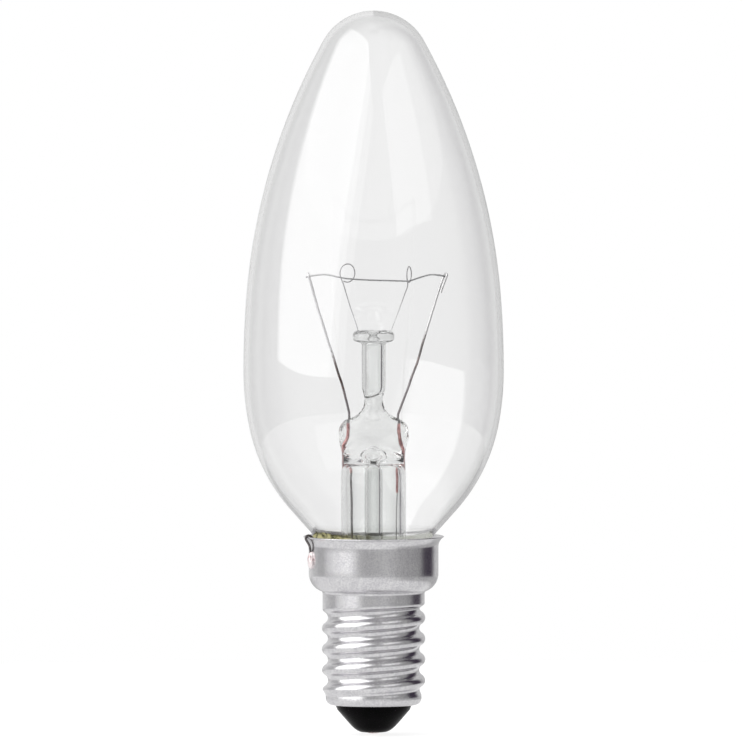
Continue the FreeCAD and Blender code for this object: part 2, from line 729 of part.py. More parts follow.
def rounded_path(points, bend):
    """Straight runs through the points, joined by tangent arcs."""
    edges, start = [], points[0]
    for before, here, after in zip(points, points[1:], points[2:]):
        back, ahead = before - here, after - here
        half = back.getAngle(ahead) / 2
        room = MOST_OF_A_RUN * min(back.Length, ahead.Length)
        reach = min(bend / math.tan(half), room)
        radius = reach * math.tan(half)
        back.normalize()
        ahead.normalize()
        inward = (back + ahead).normalize()
        centre = here + inward * (radius / math.sin(half))
        entry, leave = here + back * reach, here + ahead * reach
        edges.append(Part.LineSegment(start, entry).toShape())
        edges.append(Part.Arc(entry, centre - inward * radius, leave).toShape())
        start = leave
    edges.append(Part.LineSegment(start, points[-1]).toShape())
    return edges


def wire(name, edges, diameter):
    """A round wire along a path of tangent edges."""
    start = edges[0].valueAt(edges[0].FirstParameter)
    direction = edges[0].tangentAt(edges[0].FirstParameter)
    section = Part.Wire([Part.Circle(start, direction, diameter / 2).toShape()])
    feature = doc.addObject("Part::Feature", name)
    feature.Label = name
    feature.Shape = Part.Wire(edges).makePipe(Part.Face(section))
    feature.Placement = Placement()
    return feature


def bent_wire(name, points, diameter, bend):
    return wire(name, rounded_path(points, bend), diameter)


def clamp_route(centre, slope, across):
    """The end of a lead folded over the filament: up to the fold and back down its tail.

    slope is the lean of the lead, across the direction from its main leg to its tail.
    """
    half_gap = (size("clamp_gap") + size("lead_diameter")) / 2
    main, tail = centre - across * half_gap, centre + across * half_gap
    down = slope * size("clamp_tail_length")
    return [main - down * CLAMP_LEG_SHARE, main, tail, tail - down]


def from_weld(side, bends):
    """The weld of a lead in the press, and its bends, on the left (-1) or the right (1)."""
    half, weld = size("lead_spacing") / 2, size("press_foot_height") + size("weld_rise")
    return [Vector(side * (half + out), 0, weld + up) for out, up in ((0, 0), *bends)]


def left_lead_wire():
    fold = Vector(-size("left_clamp_reach"), 0, value(CLAMP_HEIGHT))
    route = [*from_weld(-1, LEFT_LEAD_BENDS), fold - LEFT_LEAN * size("left_lead_straight"),
             *clamp_route(fold, LEFT_LEAN, Vector(0, 1, 0))]
    return bent_wire("left_lead_wire", route, size("lead_diameter"), size("lead_bend"))


def right_lead_wire():
    fold = Vector(size("right_clamp_reach"), 0, value(CLAMP_HEIGHT))
    route = [*from_weld(1, RIGHT_LEAD_BENDS), *clamp_route(fold, RIGHT_LEAN, RIGHT_FOLD)]
    return bent_wire("right_lead_wire", route, size("lead_diameter"), size("lead_bend"))


def left_seal_foot():
    reach = size("lead_spacing") / 2 - size("lead_inset")
    return Vector(-reach, 0, size("press_foot_height") - size("seal_foot_drop"))


def fuse_top():
    reach = size("lead_spacing") / 2 - size("lead_inset") / 2
    return Vector(reach, 0, size("press_foot_height") - size("fuse_top_drop"))


def left_seal_wire():
    route = [*from_weld(-1, LEFT_SEAL_BENDS), left_seal_foot()]
    return bent_wire("left_seal_wire", route, size("seal_wire_diameter"), size("lead_bend"))


def right_seal_wire():
    route = [*from_weld(1, RIGHT_SEAL_BENDS), fuse_top()]
    return bent_wire("right_seal_wire", route, size("seal_wire_diameter"), size("lead_bend"))


def around(radius, height):
    """A point in the half plane of the side contact."""
    angle = math.radians(size("side_contact_angle"))
    return Vector(radius * math.cos(angle), radius * math.sin(angle), height)


def left_outer_lead():
    """Down the flare tube, under the glass neck, up through the cement and over the rim."""
    start, under = left_seal_foot(), size("neck_end_height")
    inwards = Vector(2 * size("lead_inset"), 0, 0)
    skirt = size("skirt_diameter") / 2 + size("lead_diameter") / 2 + size("lead_seat_gap")
    bends = [around(size(across) / 2 + out, size(height) + up)
             for across, out, height, up in OUTER_LEAD_BENDS]
    route = [
        start, start + inwards - Vector(0, 0, size("lead_drop")),
        Vector(start.x, 0, under + size("lead_turn_rise")) + inwards, *bends,
        around(skirt, size("rim_height") - size("lead_seat_drop")),
        around(skirt, size("side_solder_height") - size("lead_in_solder")),
    ]
    return bent_wire("left_outer_lead", route, size("lead_diameter"), size("lead_bend"))


def fuse_foot():
    return Vector(fuse_top().x - size("fuse_lean"), 0, size("fuse_foot_height"))


def fuse_wire():
    """The thin fuse with the bead where it is welded to the seal wire."""
    knob, foot = fuse_top(), fuse_foot()
    bends = [Vector(knob.x - inwards, 0, foot.z + up) for inwards, up in FUSE_BENDS]
    thread = bent_wire("fuse_wire", [knob, *bends, foot], size("fuse_wire_diameter"),
                       size("lead_bend"))
    bead = Part.makeSphere(size("fuse_knob_diameter") / 2,
                           knob - Vector(0, 0, size("fuse_knob_diameter") / 2))
    thread.Shape = thread.Shape.fuse(bead)
    return thread


def right_outer_lead():
    """From the fuse down the middle of the cap into the solder of the centre contact."""
    top, start = size("insulator_top_height"), fuse_foot()
    bends = [Vector(across, 0, top + up) for across, up in INNER_LEAD_BENDS]
    route = [start, start - Vector(0, 0, size("lead_drop")), *bends,
             Vector(0, 0, 2 * size("contact_face_height"))]
    return bent_wire("right_outer_lead", route, size("lead_diameter"), size("lead_bend"))


def support_wire(name, foot, centre, radius, turn):
    """A wire from the button that ends in a loop round the filament.

    turn is the angle of the loop's plane from the XZ plane.
    """
    along = Vector(math.cos(math.radians(turn)), math.sin(math.radians(turn)), 0)
    up = Vector(0, 0, 1)

    def on_loop(angle):
        angle = math.radians(angle)
        return centre + (along * math.cos(angle) + up * math.sin(angle)) * radius

    first = math.radians(LOOP_START)
    heading = along * math.sin(first) - up * math.cos(first)
    start = on_loop(LOOP_START)
    leg = rounded_path([foot, start - heading * radius, start], size("support_bend"))
    halfway, end = LOOP_START - LOOP_SWEEP / 2, LOOP_START - LOOP_SWEEP
    loop = Part.Arc(start, on_loop(halfway), on_loop(end)).toShape()
    return wire(name, leg + [loop], size("support_diameter"))


def left_loop():
    return Vector(-size("left_loop_reach"), -size("left_loop_front"), value(LOOP_HEIGHT))


def right_loop():
    return Vector(size("right_loop_reach"), -size("right_loop_front"), value(LOOP_HEIGHT))


def support_foot(across):
    """Where a support ends, sunk in the button."""
    return Vector(across, size("support_foot_back"), value(BUTTON_TOP) - size("support_depth"))


def left_support_wire():
    inset, centre = size("left_support_inset"), left_loop()
    foot = support_foot(-(size("button_diameter") / 2 - inset))
    return support_wire("left_support_wire", foot, centre, size("left_loop_radius"),
                        LEFT_LOOP_TURN)


def right_support_wire():
    inset, centre = size("right_support_inset"), right_loop()
    foot = support_foot(size("button_diameter") / 2 - inset)
    return support_wire("right_support_wire", foot, centre, size("right_loop_radius"),
                        RIGHT_LOOP_TURN)


def under_loop(centre, radius):
    """Where the filament hangs in a loop: on the loop's lowest point."""
    seat = (size("support_diameter") + size("filament_diameter")) / 2 + size("lead_seat_gap")
    return centre + Vector(0, 0, seat - radius)


def filament():
    """The coil's envelope, from clamp to clamp through both loops."""
    under_left = under_loop(left_loop(), size("left_loop_radius"))
    under_right = under_loop(right_loop(), size("right_loop_radius"))
    fold, through = value(CLAMP_HEIGHT), Vector(-RIGHT_FOLD.y, RIGHT_FOLD.x, 0)
    left_grip = Vector(-size("left_clamp_reach"), 0, fold) - LEFT_LEAN * LEFT_GRIP_DROP
    right_grip = Vector(size("right_clamp_reach"), 0, fold) - RIGHT_LEAN * RIGHT_GRIP_DROP
    left_bends = [Vector(inwards - size("left_clamp_reach"), -front, fold + up)
                  for inwards, front, up in LEFT_FILAMENT_BENDS]
    right_bends = [Vector(size("right_clamp_reach") - inwards, -front, fold + up)
                   for inwards, front, up in RIGHT_FILAMENT_BENDS]
    span = under_right.x - under_left.x
    middle = [Vector(under_left.x + span * share, under_left.y - front, under_left.z)
              for share, front in MIDDLE_FILAMENT_BENDS]
    route = [
        left_grip - Vector(0.3, 0, 0), left_grip + Vector(0.55, 0, 0.1), *left_bends,
        under_left, *middle, under_right, *right_bends,
        right_grip - through * 1.15 + Vector(0, 0, 0.12), right_grip + through * 0.25,
    ]
    return bent_wire("filament", route, size("filament_diameter"), size("filament_bend"))


def side_solder(lead):
    """The solder blob that holds the lead on the skirt of the shell."""
    ball = doc.addObject("Part::Sphere", "SideBall")
    ball.setExpression("Radius", "Size.side_solder_radius")
    seat = around(size("skirt_diameter") / 2 - size("side_solder_sink"), size("side_solder_height"))
    ball.Placement = Placement(seat, Rotation())
    skirt = doc.addObject("Part::Cylinder", "SkirtCore")
    skirt.setExpression("Radius", "Size.skirt_diameter / 2")
    skirt.setExpression("Height", "Size.rim_height")
    return cut("side_solder", ball, skirt, lead)


def check(nodes):
    """Stops the build if any object failed or any piece has no sound solid."""
    for item in doc.Objects:
        if "Invalid" in item.State or "Error" in item.State:
            raise RuntimeError(f"{item.Label} failed: {item.State}")
    for node in nodes:
        if node.Shape.isNull() or not node.Shape.isValid() or not node.Shape.Solids:
            raise RuntimeError(f"{node.Label} has no sound solid")


def export(nodes):
    os.makedirs("parts", exist_ok=True)
    for node in nodes:
        node.Shape.exportStep(f"parts/{node.Label}.step")


def main():
    fill_sheet()
    leads = [left_lead_wire(), right_lead_wire()]
    seals = [left_seal_wire(), right_seal_wire()]
    outer_lead, inner_lead, fuse = left_outer_lead(), right_outer_lead(), fuse_wire()
    supports = [left_support_wire(), right_support_wire()]
    glass, shell = glass_envelope(), screw_shell()
    nodes = [
        glass, stem_tube(*leads, *seals), exhaust_tube(), support_rod(*supports),
        filament(), *supports, *leads, *seals, outer_lead, fuse, inner_lead,
        shell, insulator(), centre_contact(), centre_solder(inner_lead),
        side_solder(outer_lead), basing_cement(glass, outer_lead),
    ]
    doc.recompute()
    check(nodes)
    export(nodes)
    for node in nodes:
        box = node.Shape.BoundBox
        print(f"{node.Label}: {len(node.Shape.Solids)} solid, {node.Shape.Volume:.2f} mm3, "
              f"z {box.ZMin:.2f} to {box.ZMax:.2f}")


main()
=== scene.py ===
# %% [markdown]
# # A clear candle lamp
# A candle lamp is a thin blown glass on a small screw cap. Inside stands a glass stem with a
# coiled tungsten wire. Nearly all of it is clear glass or shiny metal, so most of its look comes
# from what it bends and mirrors. This lesson loads the exact parts first, sets up the camera and
# a pale studio, and then makes each piece and its finish in turn.

import bmesh
import bpy
import math
import numpy as np
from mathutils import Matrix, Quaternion, Vector
from mathutils.noise import noise_vector, seed_set


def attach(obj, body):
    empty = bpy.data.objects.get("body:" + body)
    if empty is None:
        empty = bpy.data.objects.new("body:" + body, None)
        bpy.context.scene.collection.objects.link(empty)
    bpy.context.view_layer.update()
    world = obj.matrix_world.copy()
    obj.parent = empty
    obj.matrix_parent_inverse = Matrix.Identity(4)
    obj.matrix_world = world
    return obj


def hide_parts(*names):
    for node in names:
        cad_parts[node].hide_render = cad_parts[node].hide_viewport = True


seed_set(5)
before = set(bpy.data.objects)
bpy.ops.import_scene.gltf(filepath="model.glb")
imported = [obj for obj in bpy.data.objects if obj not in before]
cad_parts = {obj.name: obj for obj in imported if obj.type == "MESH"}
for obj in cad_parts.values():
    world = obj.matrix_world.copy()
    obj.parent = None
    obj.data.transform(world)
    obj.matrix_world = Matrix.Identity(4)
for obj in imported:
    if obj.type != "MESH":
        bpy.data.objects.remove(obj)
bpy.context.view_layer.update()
MM = 0.001
print("parts:", ", ".join(sorted(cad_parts)))

# %% [markdown]
# ## The camera
# The photograph is taken with a long lens, a little above the cap. The scale of the picture is
# known from the thread, so the lens follows from the distance. Its middle is aimed at the height
# that the middle of the picture shows.

# %% Camera
PHOTO_SIZE = (743, 752)
PX_PER_MM = 7.44
AXIS_PX = 373.6
FOOT_PX = 734.2
CAMERA_DISTANCE = 2.0
CAMERA_TILT = math.radians(2.5)
SENSOR = 24.0


def add_object(name, data):
    """An object in the scene that shows a mesh, a lamp or a camera."""
    thing = bpy.data.objects.new(name, data)
    bpy.context.scene.collection.objects.link(thing)
    return thing


def add_camera():
    """A camera in front of the lamp, framed as the photograph is."""
    data = bpy.data.cameras.new("camera")
    data.sensor_fit = "VERTICAL"
    data.sensor_height = SENSOR
    seen_height = PHOTO_SIZE[1] / PX_PER_MM * MM
    data.lens = SENSOR * CAMERA_DISTANCE / seen_height
    camera = add_object("camera", data)
    aim_x = (PHOTO_SIZE[0] / 2 - AXIS_PX) / PX_PER_MM * MM
    aim_z = (FOOT_PX - PHOTO_SIZE[1] / 2) / PX_PER_MM * MM
    camera.location = (aim_x, -CAMERA_DISTANCE * math.cos(CAMERA_TILT),
                       aim_z + CAMERA_DISTANCE * math.sin(CAMERA_TILT))
    camera.rotation_euler = (math.pi / 2 - CAMERA_TILT, 0, 0)
    bpy.context.scene.camera = camera
    bpy.context.scene.view_settings.view_transform = "Standard"
    return camera


camera = add_camera()
print("lens:", round(camera.data.lens, 1), "mm")

# %% [markdown]
# ## Writing shader maths
# A node tree is easier to read as an expression. The class below wraps one socket. Its operators
# add Math nodes, and `node` adds any other node with its settings and the values of its sockets.

# %% A socket that can be used in expressions
class Socket:
    """One output socket, with operators that add Math nodes to its tree."""

    def __init__(self, tree, socket):
        self.tree = tree
        self.socket = socket

    def node(self, kind, settings=None, inputs=None, output=0):
        """Adds a node to the same tree and returns one of its outputs."""
        return add_node(self.tree, kind, settings, inputs, output)

    def maths(self, operation, *others):
        """Adds a Math node on this value and up to two others."""
        values = dict(enumerate([self, *others]))
        return self.node("ShaderNodeMath", {"operation": operation}, values)

    def __add__(self, other):
        return self.maths("ADD", other)

    def __sub__(self, other):
        return self.maths("SUBTRACT", other)

    def __mul__(self, other):
        return self.maths("MULTIPLY", other)

    def __truediv__(self, other):
        return self.maths("DIVIDE", other)

    def __rsub__(self, other):
        flipped = self.maths("MULTIPLY", -1.0)
        return flipped.maths("ADD", other)

    __radd__ = __add__
    __rmul__ = __mul__

    def smooth(self, low, high, start=0.0, end=1.0):
        """Goes smoothly from start at low to end at high."""
        return self.node("ShaderNodeMapRange", {"interpolation_type": "SMOOTHSTEP"},
                         {"Value": self, "From Min": low, "From Max": high,
                          "To Min": start, "To Max": end})

    def vector(self, operation, other, socket=1, output=0):
        """Adds a Vector Math node."""
        return self.node("ShaderNodeVectorMath", {"operation": operation},
                         {0: self, socket: other}, output)

    def other(self, output):
        """Another output of the node that this socket is on."""
        return Socket(self.tree, self.socket.node.outputs[output])

    def parts(self):
        """The x, y and z of a vector."""
        x = self.node("ShaderNodeSeparateXYZ", inputs={0: self})
        return x, x.other(1), x.other(2)

    def tint(self, start, end):
        """Goes from one colour to another as the value goes from 0 to 1."""
        ends = [c if isinstance(c, Socket) else (*c, 1) for c in (start, end)]
        return self.node("ShaderNodeMix", {"data_type": "RGBA"},
                         {0: self, 6: ends[0], 7: ends[1]}, output=2)


def add_node(tree, kind, settings=None, inputs=None, output=0):
    """Adds one node: settings first, then the values or links of its sockets."""
    node = tree.nodes.new(kind)
    for name, value in (settings or {}).items():
        if name == "stops":
            set_stops(node.color_ramp, value)
        else:
            setattr(node, name, value)
    for name, value in (inputs or {}).items():
        if isinstance(value, Socket):
            tree.links.new(value.socket, node.inputs[name])
        else:
            node.inputs[name].default_value = value
    return Socket(tree, node.outputs[output]) if node.outputs else None


def set_stops(ramp, stops):
    """Gives a ramp its stops: a place from 0 to 1 and a grey or a colour for each."""
    while len(ramp.elements) < len(stops):
        ramp.elements.new(1.0)
    for element, (place, colour) in zip(ramp.elements, stops):
        element.position = place
        element.color = (*colour, 1) if isinstance(colour, tuple) else (colour,) * 3 + (1,)


print("shader maths is ready")

# %% Starting a tree
def empty_tree(owner):
    """The node tree of a material, a world or a lamp, with nothing in it yet."""
    owner.use_nodes = True
    owner.node_tree.nodes.clear()
    return owner.node_tree


def new_material(name):
    """A material, and where a point is on the lamp, in metres, as the start of its tree."""
    material = bpy.data.materials.new(name)
    return material, add_node(empty_tree(material), "ShaderNodeTexCoord", output="Object")


print("trees can be started")

# %% [markdown]
# ## The studio
# The picture's background is pure white, and the light is soft and even. Glass only shows by
# what it bends and mirrors, so in a plain white room it would vanish. The world is therefore
# white straight behind the lamp, and greyer where the glass bends the view further away. That
# draws the edges of the glass, as a photographer's grey flags do beside a white screen. A
# mirrored ray sees a room instead: pale to the left and behind, dim in front, and with a dark
# curtain on the right.

# %% World
AHEAD = (0, math.cos(CAMERA_TILT), -math.sin(CAMERA_TILT))
WHITE_TO, GREY_FROM = 2.0, 13.0  # degrees away from straight ahead
FLAG_GREY = 0.83
BACK_FROM, BACK_TO, BACK_GAIN = 50.0, 90.0, 0.04
DIFFUSE_LEVEL = 0.55
CURTAIN = (0.035, 0.022, 0.045)
# Degrees round the lamp, 0 at the camera and positive to the right, and a grey or a colour
ROOM = ((-180, 0.85), (-150, 0.84), (-120, 0.60), (-100, 0.46), (-60, 0.50), (-40, 0.48),
        (-28, 0.44), (0, 0.47), (25, 0.58), (50, 0.45), (72, 0.42), (92, 0.36), (101, CURTAIN),
        (127, CURTAIN), (141, 0.72), (180, 0.66))


def light_paths(tree):
    """Masks for three kinds of rays: from the camera, through clear glass, and mirrored."""
    camera = add_node(tree, "ShaderNodeLightPath", output="Is Camera Ray")
    bounced = camera.other("Glossy Depth").maths("GREATER_THAN", 0.5)
    through = camera.other("Is Transmission Ray") * (1 - bounced)
    return camera, through, camera.other("Is Glossy Ray") * bounced


def studio_world():
    """White straight behind the glass, grey flags beside that, and a room for it to mirror."""
    world = bpy.data.worlds.new("studio")
    bpy.context.scene.world = world
    tree = empty_tree(world)
    way = add_node(tree, "ShaderNodeTexCoord", output="Generated")
    x, y, _ = way.parts()
    turn = x.maths("ARCTAN2", y * -1.0)
    ahead = way.vector("DOT_PRODUCT", AHEAD, output="Value")
    bent = ahead.maths("ARCCOSINE") * (180 / math.pi)
    flags = bent.smooth(WHITE_TO, GREY_FROM, 1.0, FLAG_GREY)
    flags = flags + bent.smooth(BACK_FROM, BACK_TO, 0.0, BACK_GAIN)
    stops = [((azimuth + 180) / 360, colour) for azimuth, colour in ROOM]
    room = turn.node("ShaderNodeValToRGB", {"stops": stops},
                     {"Fac": turn / (2 * math.pi) + 0.5})
    camera, through, mirrored = light_paths(tree)
    plain = camera + through * flags + (1 - camera - through) * DIFFUSE_LEVEL
    colour = mirrored.tint((1, 1, 1), room)
    background = way.node("ShaderNodeBackground", inputs={
        "Color": colour, "Strength": plain * (1 - mirrored) + mirrored})
    way.node("ShaderNodeOutputWorld", inputs={"Surface": background})


studio_world()
print("world is ready:", len(ROOM), "places round the room")

# %% [markdown]
# ## Lamps and floor
# A large soft window stands at the left, and the long pale highlight on the bulb is its mirror
# image. It is three panes in one plane, fainter towards the camera, so that its edge is soft, and
# it leans a little. A fainter window stands on the right. A pane shows in what glass and metal
# mirror, but not straight through the clear glass, where it would blow out a view from the side.
# The floor is pale and only takes a faint shadow. It glows a little, more near the lamp and on the
# left, so that the foot of the cap mirrors something pale there.

# %% Lamps
LAMP_MIDDLE = Vector((0, 0, 0.05))
DISTANCE = 1.2
LEFT_MIDDLE, LEFT_RISE, LEFT_LEAN = -66, (-2.5, 68), -2.5
LEFT_PANES = (("left_window", (-98, -33), 1.75), ("left_edge", (-33, -27), 1.1),
              ("left_fringe", (-27, -20), 0.5))


def around_lamp(azimuth, elevation):
    """A place round the lamp: azimuth 0 is at the camera, and positive to the right."""
    turn, rise = math.radians(azimuth), math.radians(elevation)
    flat = DISTANCE * math.cos(rise)
    return LAMP_MIDDLE + Vector((flat * math.sin(turn), -flat * math.cos(turn),
                                 DISTANCE * math.sin(rise)))


def soft_window(name, middle, azimuths, elevations, radiance, lean=0.0):
    """A pane between two azimuths, in the plane that faces the lamp from a middle one.

    Its radiance is what a mirror shows of it, and lean turns it in its plane.
    """
    start, end = (DISTANCE * math.tan(math.radians(side - middle)) for side in azimuths)
    height = 2 * DISTANCE * math.tan(math.radians(elevations[1] - elevations[0]) / 2)
    data = bpy.data.lights.new(name, "AREA")
    data.shape = "RECTANGLE"
    data.size, data.size_y = end - start, height
    data.energy = radiance * math.pi * data.size * data.size_y
    depth = add_node(empty_tree(data), "ShaderNodeLightPath", output="Transmission Depth")
    straight = depth.maths("GREATER_THAN", 0.5)
    for kind in ("Glossy Depth", "Diffuse Depth"):
        straight = straight * depth.other(kind).maths("LESS_THAN", 0.5)
    glow = depth.node("ShaderNodeEmission", inputs={"Strength": 1 - straight})
    glow.node("ShaderNodeOutputLight", inputs={"Surface": glow})
    lamp = add_object(name, data)
    centre = around_lamp(middle, sum(elevations) / 2)
    facing = (LAMP_MIDDLE - centre).to_track_quat("-Z", "Y")
    facing = facing @ Quaternion((0, 0, 1), math.radians(lean))
    lamp.location = centre + facing @ Vector(((start + end) / 2, 0, 0))
    lamp.rotation_euler = facing.to_euler()
    lamp.visible_camera = False
    return lamp


for pane, azimuths, radiance in LEFT_PANES:
    soft_window(pane, LEFT_MIDDLE, azimuths, LEFT_RISE, radiance, LEFT_LEAN)
soft_window("right_window", 43, (24, 62), (20, 50), 0.6)

# %% Floor
FLOOR_RADIUS, FLOOR_HEIGHT, FLOOR_GREY = 0.16, -0.0002, 0.4
FLOOR_GLOW, THROUGH_GLOW = 0.8, 0.62  # for the camera, and through glass
NEAR_GLOW, LEFT_GLOW, RIGHT_GLOW = 0.6, 0.6, 0.2  # in what the lamp mirrors
NEAR_TO, FAR_FROM = 0.040, 0.060  # metres from the middle
RIGHT_AND_BACK, SIDE_FADE = (0.8, 0.6), 0.03  # the way the glow fades, and over how many metres


def floor_paint():
    """Pale paint that glows just enough to read as white, and less far out on the right."""
    material, place = new_material("floor_white")
    paint = place.node("ShaderNodeBsdfDiffuse", inputs={"Color": (FLOOR_GREY,) * 3 + (1,)})
    camera, through, mirrored = light_paths(place.tree)
    x, y, _ = place.parts()
    far = (x * x + y * y).maths("POWER", 0.5).smooth(NEAR_TO, FAR_FROM)
    aside = x * RIGHT_AND_BACK[0] + y * RIGHT_AND_BACK[1]
    aside = aside.smooth(-SIDE_FADE, SIDE_FADE, LEFT_GLOW, RIGHT_GLOW)
    sheen = far * aside + (1 - far) * NEAR_GLOW
    glow = paint.node("ShaderNodeEmission", inputs={
        "Strength": camera * FLOOR_GLOW + through * THROUGH_GLOW + mirrored * sheen})
    both = paint.node("ShaderNodeAddShader", inputs={0: paint, 1: glow})
    both.node("ShaderNodeOutputMaterial", inputs={"Surface": both})
    return material


def pale_floor(corners=64):
    """A wide pale disc under the lamp."""
    mesh = bpy.data.meshes.new("floor")
    ring = [(FLOOR_RADIUS * math.cos(a), FLOOR_RADIUS * math.sin(a), FLOOR_HEIGHT)
            for a in np.linspace(0, 2 * math.pi, corners, endpoint=False)]
    mesh.from_pydata(ring, [], [list(range(corners))])
    mesh.materials.append(floor_paint())
    floor = add_object("floor", mesh)


pale_floor()
print("floor is ready")

# %% [markdown]
# ## Turned pieces
# Glass bulbs, caps and buttons are round about one axis. Each is made from a half outline that is
# turned, which keeps the rings even, so that glass bends light without facets.

# %% Outlines of arcs and runs
def run(start, end, steps):
    """Points along a straight run, without its last one."""
    share = np.linspace(0, 1, steps, endpoint=False)[:, None]
    return np.array(start) * (1 - share) + np.array(end) * share


def arc(centre, radius, first, last, steps):
    """Points along an arc, with angles in radians, without its last one."""
    angle = np.linspace(first, last, steps, endpoint=False)
    return np.array(centre) + radius * np.stack([np.cos(angle), np.sin(angle)], 1)


def ramp(value, low, high):
    """From 0 at low to 1 at high, level at both ends."""
    share = np.clip((value - low) / (high - low), 0, 1)
    return share * share * (3 - 2 * share)


print("outlines are ready")

# %% Meshes from rings of points
def grid_faces(rings, columns, closed=False):
    """The faces between rings of points; closed joins the last ring to the first one."""
    return [(a * columns + i, a * columns + j, b * columns + j, b * columns + i)
            for a in range(rings if closed else rings - 1) for b in [(a + 1) % rings]
            for i in range(columns) for j in [(i + 1) % columns]]


def turned(name, outline, segments=192, warp=None):
    """A mesh turned from a closed or axis-to-axis outline of (radius, height) in millimetres.

    warp may move the points: it takes radius, height and angle and returns x, y and z.
    """
    outline = np.asarray(outline, float)
    angle = np.linspace(0, 2 * math.pi, segments, endpoint=False)
    radius = np.repeat(outline[:, :1], segments, 1)
    height = np.repeat(outline[:, 1:], segments, 1)
    turn = np.repeat(angle[None, :], len(outline), 0)
    if warp:
        x, y, z = warp(radius, height, turn)
    else:
        x, y, z = radius * np.cos(turn), radius * np.sin(turn), height
    points = np.stack([x, y, z], 2).reshape(-1, 3)
    on_axis = outline[0, 0] < 1e-6
    return mesh_object(name, points, grid_faces(len(outline), segments, not on_axis))


def mesh_object(name, points, faces):
    """A smooth object from points in millimetres, with doubles merged and faces outwards."""
    mesh = bpy.data.meshes.new(name)
    mesh.from_pydata([tuple(p) for p in np.asarray(points) * MM], [], faces)
    work = bmesh.new()
    work.from_mesh(mesh)
    bmesh.ops.remove_doubles(work, verts=work.verts, dist=1e-7)
    bmesh.ops.dissolve_degenerate(work, edges=work.edges, dist=1e-8)
    bmesh.ops.recalc_face_normals(work, faces=work.faces)
    work.to_mesh(mesh)
    work.free()
    mesh.shade_smooth()
    return add_object(name, mesh)


print("turning is ready")

# %% [markdown]
# ## The blown glass
# The bulb is one thin wall blown into a mould. Its side is a chain of arcs, each leaving the last
# one without a kink: a rounded nose, a long crown, a longer side, a round belly, and a straight
# cone into the neck. The centres follow from the few sizes below, so nothing is traced.

# %% Glass sizes
TOP = 97.25
BELLY_RADIUS, BELLY_HEIGHT = 17.5, 48.83
NECK_RADIUS, NECK_FILLET, NECK_END = 7.0, 2.0, 20.8
CONE_FOOT, CONE_REACH = 25.49, 0.502
TIP_RADIUS = 7.72
SIDE_FULLNESS, CROWN_FULLNESS = 1.344, 0.8756
UNDER_FULLNESS, TURN_FULLNESS = 1.25, 0.7915
WALL = 0.65


def between(first, first_reach, second, second_reach):
    """The lower of the two points at those distances from two centres."""
    gap = second - first
    span = np.hypot(*gap)
    along = (span ** 2 + first_reach ** 2 - second_reach ** 2) / (2 * span)
    off = math.sqrt(first_reach ** 2 - along ** 2)
    unit = gap / span
    side = np.array([-unit[1], unit[0]]) * off
    return min((first + unit * along + side, first + unit * along - side), key=lambda p: p[1])


def glass_arcs():
    """The cone's angle, and the centre and radius of each arc of the outer side."""
    rise = BELLY_HEIGHT - CONE_FOOT
    angle = math.atan((BELLY_RADIUS - NECK_RADIUS) / (CONE_REACH * rise))
    plain_side = (BELLY_RADIUS ** 2 + (TOP - BELLY_HEIGHT - TIP_RADIUS) ** 2 - TIP_RADIUS ** 2)
    plain_side /= 2 * (BELLY_RADIUS - TIP_RADIUS)
    plain_under = (1 - CONE_REACH) * rise / math.tan(angle / 2)
    side, crown = SIDE_FULLNESS * plain_side, CROWN_FULLNESS * plain_side
    under, turn = UNDER_FULLNESS * plain_under, TURN_FULLNESS * plain_under
    slope = np.array([math.sin(angle), math.cos(angle)])
    inside = np.array([-slope[1], slope[0]])
    corner = np.array([NECK_RADIUS, CONE_FOOT])
    reach = NECK_FILLET * math.tan(angle / 2)
    under_centre = np.array([BELLY_RADIUS - under, BELLY_HEIGHT])
    side_centre = np.array([BELLY_RADIUS - side, BELLY_HEIGHT])
    tip_centre = np.array([0, TOP - TIP_RADIUS])
    row = corner + inside * turn - under_centre
    along = -row @ slope
    step = along + math.sqrt(along ** 2 - row @ row + (under - turn) ** 2)
    crown_centre = between(tip_centre, crown - TIP_RADIUS, side_centre, side - crown)
    return angle, (
        (corner + [NECK_FILLET, -reach], NECK_FILLET), (under_centre + row + slope * step, turn),
        (under_centre, under), (side_centre, side), (crown_centre, crown),
        (tip_centre, TIP_RADIUS))


def heading(start, end):
    """The angle of the line from one place to another."""
    return math.atan2(end[1] - start[1], end[0] - start[0])


def glass_side(inset):
    """Points up one side of the wall from the neck's end to the nose, moved in by inset."""
    angle, (fillet, turn, under, side, crown, tip) = glass_arcs()
    inside = np.array([-math.cos(angle), math.sin(angle)])
    cone_start = fillet[0] + inside * (fillet[1] + inset)
    turn_in = turn[0] - inside * (turn[1] - inset)
    mid = heading(under[0], turn[0])
    above = heading(crown[0], side[0]) + math.pi
    nose = heading(crown[0], tip[0])
    return np.concatenate([
        run((NECK_RADIUS - inset, NECK_END), (NECK_RADIUS - inset, fillet[0][1]), 5),
        arc(fillet[0], fillet[1] + inset, math.pi, math.pi - angle, 6),
        run(cone_start, turn_in, 8),
        arc(turn[0], turn[1] - inset, heading(turn[0], turn_in), mid, 16),
        arc(under[0], under[1] - inset, mid, 0, 14),
        arc(side[0], side[1] - inset, 0, above, 12),
        arc(crown[0], crown[1] - inset, above, nose, 30),
        arc(tip[0], tip[1] - inset, nose, math.pi / 2, 20),
        [(0, TOP - inset)],
    ])


outer, inner = glass_side(0), glass_side(WALL)
print("wall points:", len(outer), "widest:", round(outer[:, 0].max(), 2), "mm")

# %% Glass envelope
envelope = turned("glass_bulb", np.concatenate([inner[::-1], outer]))
print("envelope faces:", len(envelope.data.polygons))

# %% [markdown]
# ## Clear glass
# Soda glass bends light with an index near 1.5. The base colour takes a little light away at
# each wall, as real glass does, so the bulb reads as a faint grey body against white. Blown and
# drawn glass is never quite even, so a slow ripple in its normal makes the mirror images waver.

